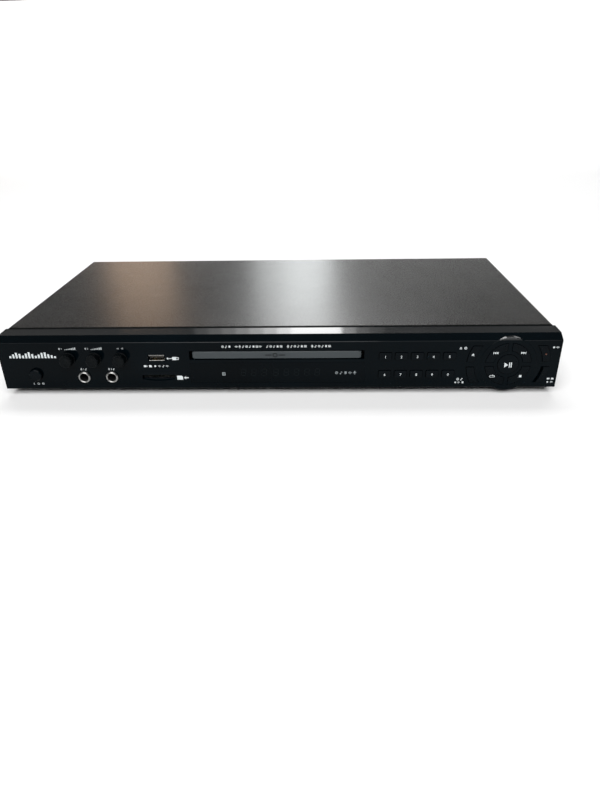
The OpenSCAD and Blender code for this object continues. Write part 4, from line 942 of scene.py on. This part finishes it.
class MACHINE_OT_rear(MachinePart, bpy.types.Operator):
    """Build the phono sockets and the mains inlet on the back"""

    bl_idname = "machine.rear"
    bl_label = "Rear sockets"

    def build(self, detail):
        self.phono_sockets()
        self.mains_inlet()

    def phono_sockets(self):
        low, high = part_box("phono_sockets")
        x0, x1 = low.x / MM + 8, high.x / MM - 8
        z_top = (high.z - BASE_Z) / MM - 7
        columns = [x0 + (x1 - x0) * i / 2 for i in range(3)]
        rows = (z_top, z_top - 14)
        back = (high.y - FACE_Y) / MM
        wall = CASE_BACK
        sleeve_r, hole_r = 4.15, 1.7
        block_piece = bmesh.new()
        block(block_piece, (x0 - 8, x1 + 8), (front_of("phono_sockets"), wall - 0.9),
              ((low.z - BASE_Z) / MM, (high.z - BASE_Z) / MM))
        piece("phono_block", block_piece, "case", "black_plastic",
              ("phono_sockets",), edge=0.0003)
        sleeves = bmesh.new()
        tints = ("socket_yellow", "socket_white", "socket_red",
                 "socket_green", "socket_blue", "socket_red")
        for number, (z, x) in enumerate((z, x) for z in rows for x in columns):
            length = back - wall
            lathe(sleeves, [(hole_r + 1.6, -1.2), (sleeve_r, -1.2), (sleeve_r, length - 0.25),
                            (sleeve_r - 0.25, length), (sleeve_r - 0.55, length),
                            (sleeve_r - 0.8, length - 0.3), (sleeve_r - 0.8, 0.4),
                            (hole_r + 1.6, 0.4), (hole_r + 1.6, -1.2)],
                  at(x, wall, z), TO_BACK, 40)
            collar = bmesh.new()
            lathe(collar, [(sleeve_r + 0.02, -0.7), (sleeve_r + 0.5, -0.7), (sleeve_r + 0.5, 0.0),
                           (sleeve_r + 1.5, 0.02), (sleeve_r + 1.5, 0.7), (sleeve_r + 1.2, 1.0),
                           (sleeve_r + 0.02, 1.0), (sleeve_r + 0.02, -0.7)],
                  at(x, wall, z), TO_BACK, 40)
            lathe(collar, [(hole_r, 0.4), (sleeve_r - 0.82, 0.4), (sleeve_r - 0.82, length - 1.6),
                           (hole_r, length - 1.6), (hole_r, 0.4)], at(x, wall, z), TO_BACK, 32)
            piece(f"phono_collar_{number + 1}", collar, "case",
                  tints[number])
        piece("phono_sleeves", sleeves, "case", "bright_chrome")

    def mains_inlet(self):
        x, _, z = middle("mains_inlet")
        low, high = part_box("mains_inlet")
        front, back = front_of("mains_inlet"), (high.y - FACE_Y) / MM
        w, h = (high.x - low.x) / MM, (high.z - low.z) / MM
        flange_y = back - 1.9
        half, lobe, depth, pin_r = 4.3, 4.4, 12.0, 1.2
        waist = 1.4 * lobe / 2
        tilt = math.degrees(math.asin(waist / lobe))
        hole = (arc(x + half, z, lobe, -180 + tilt, 180 - tilt, 20)
                + arc(x - half, z, lobe, tilt, 360 - tilt, 20))
        hole = [p for i, p in enumerate(hole) if p != hole[i - 1]]
        centre = Vector((x, z))

        def ray(outline_w, outline_h, r):
            """Points on a round-cornered rectangle in the directions of the hole's points."""
            found = []
            for px, pz in hole:
                d = Vector((px, pz)) - centre
                reach = min((outline_w / 2) / max(abs(d.x), 1e-6),
                            (outline_h / 2) / max(abs(d.y), 1e-6))
                q = d * reach
                over_x, over_z = abs(q.x) - (outline_w / 2 - r), abs(q.y) - (outline_h / 2 - r)
                if over_x > 0 and over_z > 0:
                    corner = Vector((math.copysign(outline_w / 2 - r, q.x),
                                     math.copysign(outline_h / 2 - r, q.y)))
                    q = corner + (q - corner).normalized() * r
                found.append((x + q.x, z + q.y))
            return found

        bm = bmesh.new()
        rings = [(ray(22, 13, 1.0), front), (ray(22, 13, 1.0), flange_y),
                 (ray(w, h, 1.6), flange_y), (ray(w, h, 1.6), back - 0.35),
                 (ray(w - 0.7, h - 0.7, 1.4), back), (hole, back), (hole, back - depth)]
        loft(bm, [[at(px, y, pz) for px, pz in ring] for ring, y in rings])
        piece("mains_housing", bm, "case", "black_plastic", ("mains_inlet",))
        pins = bmesh.new()
        for side in (-1, 1):
            lathe(pins, [(pin_r, -depth - 0.5), (pin_r, -3.0), (pin_r - 0.3, -2.2),
                         (pin_r - 0.8, -2.0)], at(x + side * half, back, z), TO_BACK, 24)
        piece("mains_pins", pins, "case", "bright_chrome")


class MACHINE_OT_studio(MachinePart, bpy.types.Operator):
    """Lay the floor and backdrop, set the lights and place the camera"""

    bl_idname = "machine.studio"
    bl_label = "Studio"

    def build(self, detail):
        studio = settings("studio")
        self.floor(studio)
        self.lights(studio)
        self.camera()

    def floor(self, studio):
        """A floor that curves up into a low backdrop far behind."""
        n = Nodes("floor_paper")
        tone = n.mix(n.spread(n.noise(900, 3.0), 0, 1), rgba(studio.floor_colour, 0.99),
                     rgba(studio.floor_colour, 1.01))
        n.feed("Base Color", tone)
        n.feed("Roughness", 0.9)
        n.feed("Specular IOR Level", 0.1)
        section = [(-5.0, 0.0), (5.0, 0.0)]
        section += [(5.0 + 1.2 * math.sin(math.radians(a)), 1.2 - 1.2 * math.cos(math.radians(a)))
                    for a in range(10, 81, 10)]
        bm = bmesh.new()
        rows = [[Vector((x, y, z)) for x in (-7, 7)] for y, z in section]
        loft(bm, rows, closed_ring=False, caps=False)
        mesh = bpy.data.meshes.new("studio_floor")
        bm.to_mesh(mesh)
        bm.free()
        mesh.shade_smooth()
        mesh.materials.append(n.material)
        add_object("studio_floor", mesh)

    def lights(self, studio):
        world = bpy.data.worlds.new("studio_air")
        bpy.context.scene.world = world
        world.use_nodes = True
        background = world.node_tree.nodes["Background"]
        background.inputs["Color"].default_value = (0.9, 0.9, 0.9, 1)
        background.inputs["Strength"].default_value = 0.06
        soft = studio.soft_power
        window = studio.window_power
        aims = {"backdrop_light": (0, 6.2, 0.3)}
        white = (1.0, 1.0, 1.0)
        wall = WINDOW_WALL_Y
        lamps = (
            ("back_window", 0.8 * window, (0.96, 1.0, 1.0), (-0.01, wall, 0.62), (0.19, 0.46)),
            ("back_window_shade", 0.3 * window, (0.96, 1.0, 1.0), (-0.166, wall, 0.62),
             (0.12, 0.46)),
            ("window_head", 0.81 * window, white, (0.022, wall, 0.99), (0.228, 0.26)),
            ("warm_wall", 0.6, (1.0, 0.68, 0.45), (-0.70, wall, 0.61), (0.26, 0.44)),
            ("right_wall", 0.22, (0.98, 1.0, 0.96), (0.55, wall, 0.61), (0.9, 0.44)),
            ("upper_wall", 0.6, (1.0, 0.98, 0.95), (0.0, 1.95, 1.12), (3.0, 0.4)),
            ("crest_light", 0.65, white, (0.34, wall, 1.075), (0.40, 0.11)),
            ("front_strip", 18.0, white, (-0.75, -2.2, 1.45), (2.3, 0.22)),
            ("front_softbox", 1.2 * soft, white, (0, -2.4, 3.0), (5.0, 3.0)),
            ("rear_softbox", 0.7 * soft, white, (0, 2.5, 3.6), (5.0, 1.5)),
            ("backdrop_light", 1.8 * soft, white, (0, 3.0, 2.6), (6.0, 1.0)),
        )
        # the window's reflection fades out in steps at both sides
        fade = ((-0.48, 0.009), (-0.42, 0.017), (-0.36, 0.028), (-0.30, 0.045), (-0.24, 0.07),
                (-0.18, 0.10), (-0.12, 0.15), (0.166, 0.045), (0.226, 0.015), (0.286, 0.006))
        lamps += tuple((f"window_fade_{i}", share * window, white, (x, wall, 0.99),
                        (0.06, 0.26)) for i, (x, share) in enumerate(fade))
        for name, power, colour, place, size in lamps:
            data = bpy.data.lights.new(name, "AREA")
            data.shape = "RECTANGLE"
            data.size, data.size_y = size
            data.energy = power
            data.color = colour
            lamp = add_object(name, data)
            lamp.location = place
            aim = Vector(aims.get(name, (0, 0, 0.04))) - Vector(place)
            lamp.rotation_mode = "QUATERNION"
            lamp.rotation_quaternion = aim.to_track_quat("-Z", "Y")
            lamp.visible_camera = False

    def camera(self):
        """The photograph's viewpoint, fitted to the panel's edges, in panel millimetres."""
        x, y, z = 32.57, -421.57, 208.87
        yaw, pitch, roll = -0.034771, 0.479640, -0.018858
        focal_px, long_side_px = 600.28, 800
        forward = Vector((math.sin(yaw) * math.cos(pitch), math.cos(yaw) * math.cos(pitch),
                          -math.sin(pitch)))
        level = Vector((math.cos(yaw), -math.sin(yaw), 0))
        up = level.cross(forward)
        right = math.cos(roll) * level + math.sin(roll) * up
        up = -math.sin(roll) * level + math.cos(roll) * up
        data = bpy.data.cameras.new("photo_camera")
        data.sensor_width = 36.0
        data.lens = focal_px / long_side_px * data.sensor_width
        data.clip_start, data.clip_end = 0.02, 50
        camera = add_object("photo_camera", data)
        turn = Matrix((right, up, -forward)).transposed()
        camera.matrix_world = Matrix.Translation(at(x, y, z)) @ turn.to_4x4()
        bpy.context.scene.camera = camera
        view = bpy.context.scene.view_settings
        view.view_transform = "Standard"
        view.look = "None"


PARTS = (MACHINE_OT_case, MACHINE_OT_panel, MACHINE_OT_keys, MACHINE_OT_markings,
         MACHINE_OT_knobs, MACHINE_OT_front_sockets, MACHINE_OT_loader, MACHINE_OT_boards,
         MACHINE_OT_screws, MACHINE_OT_rear, MACHINE_OT_studio)


class MACHINE_PT_looks(bpy.types.Panel):
    """Lists the settings and the parts"""

    bl_label = "Karaoke machine"
    bl_idname = "MACHINE_PT_looks"
    bl_space_type = "VIEW_3D"
    bl_region_type = "UI"
    bl_category = "Karaoke machine"

    def draw(self, context):
        for group, kind in SETTINGS.items():
            box = self.layout.box()
            box.label(text=group.capitalize())
            for name in kind.__annotations__:
                box.prop(settings(group), name)
        for part in PARTS:
            self.layout.operator(part.bl_idname)


def register():
    for kind in (*SETTINGS.values(), *PARTS, MACHINE_PT_looks):
        bpy.utils.register_class(kind)
    for group, kind in SETTINGS.items():
        setattr(bpy.types.Scene, "karaoke_" + group, PointerProperty(type=kind))


def unregister():
    for group in SETTINGS:
        delattr(bpy.types.Scene, "karaoke_" + group)
    for kind in reversed((*SETTINGS.values(), *PARTS, MACHINE_PT_looks)):
        bpy.utils.unregister_class(kind)


def main():
    register()
    for part in PARTS:
        space, name = part.bl_idname.split(".")
        getattr(getattr(bpy.ops, space), name)()
    bpy.context.view_layer.update()


if __name__ == "__main__":
    main()
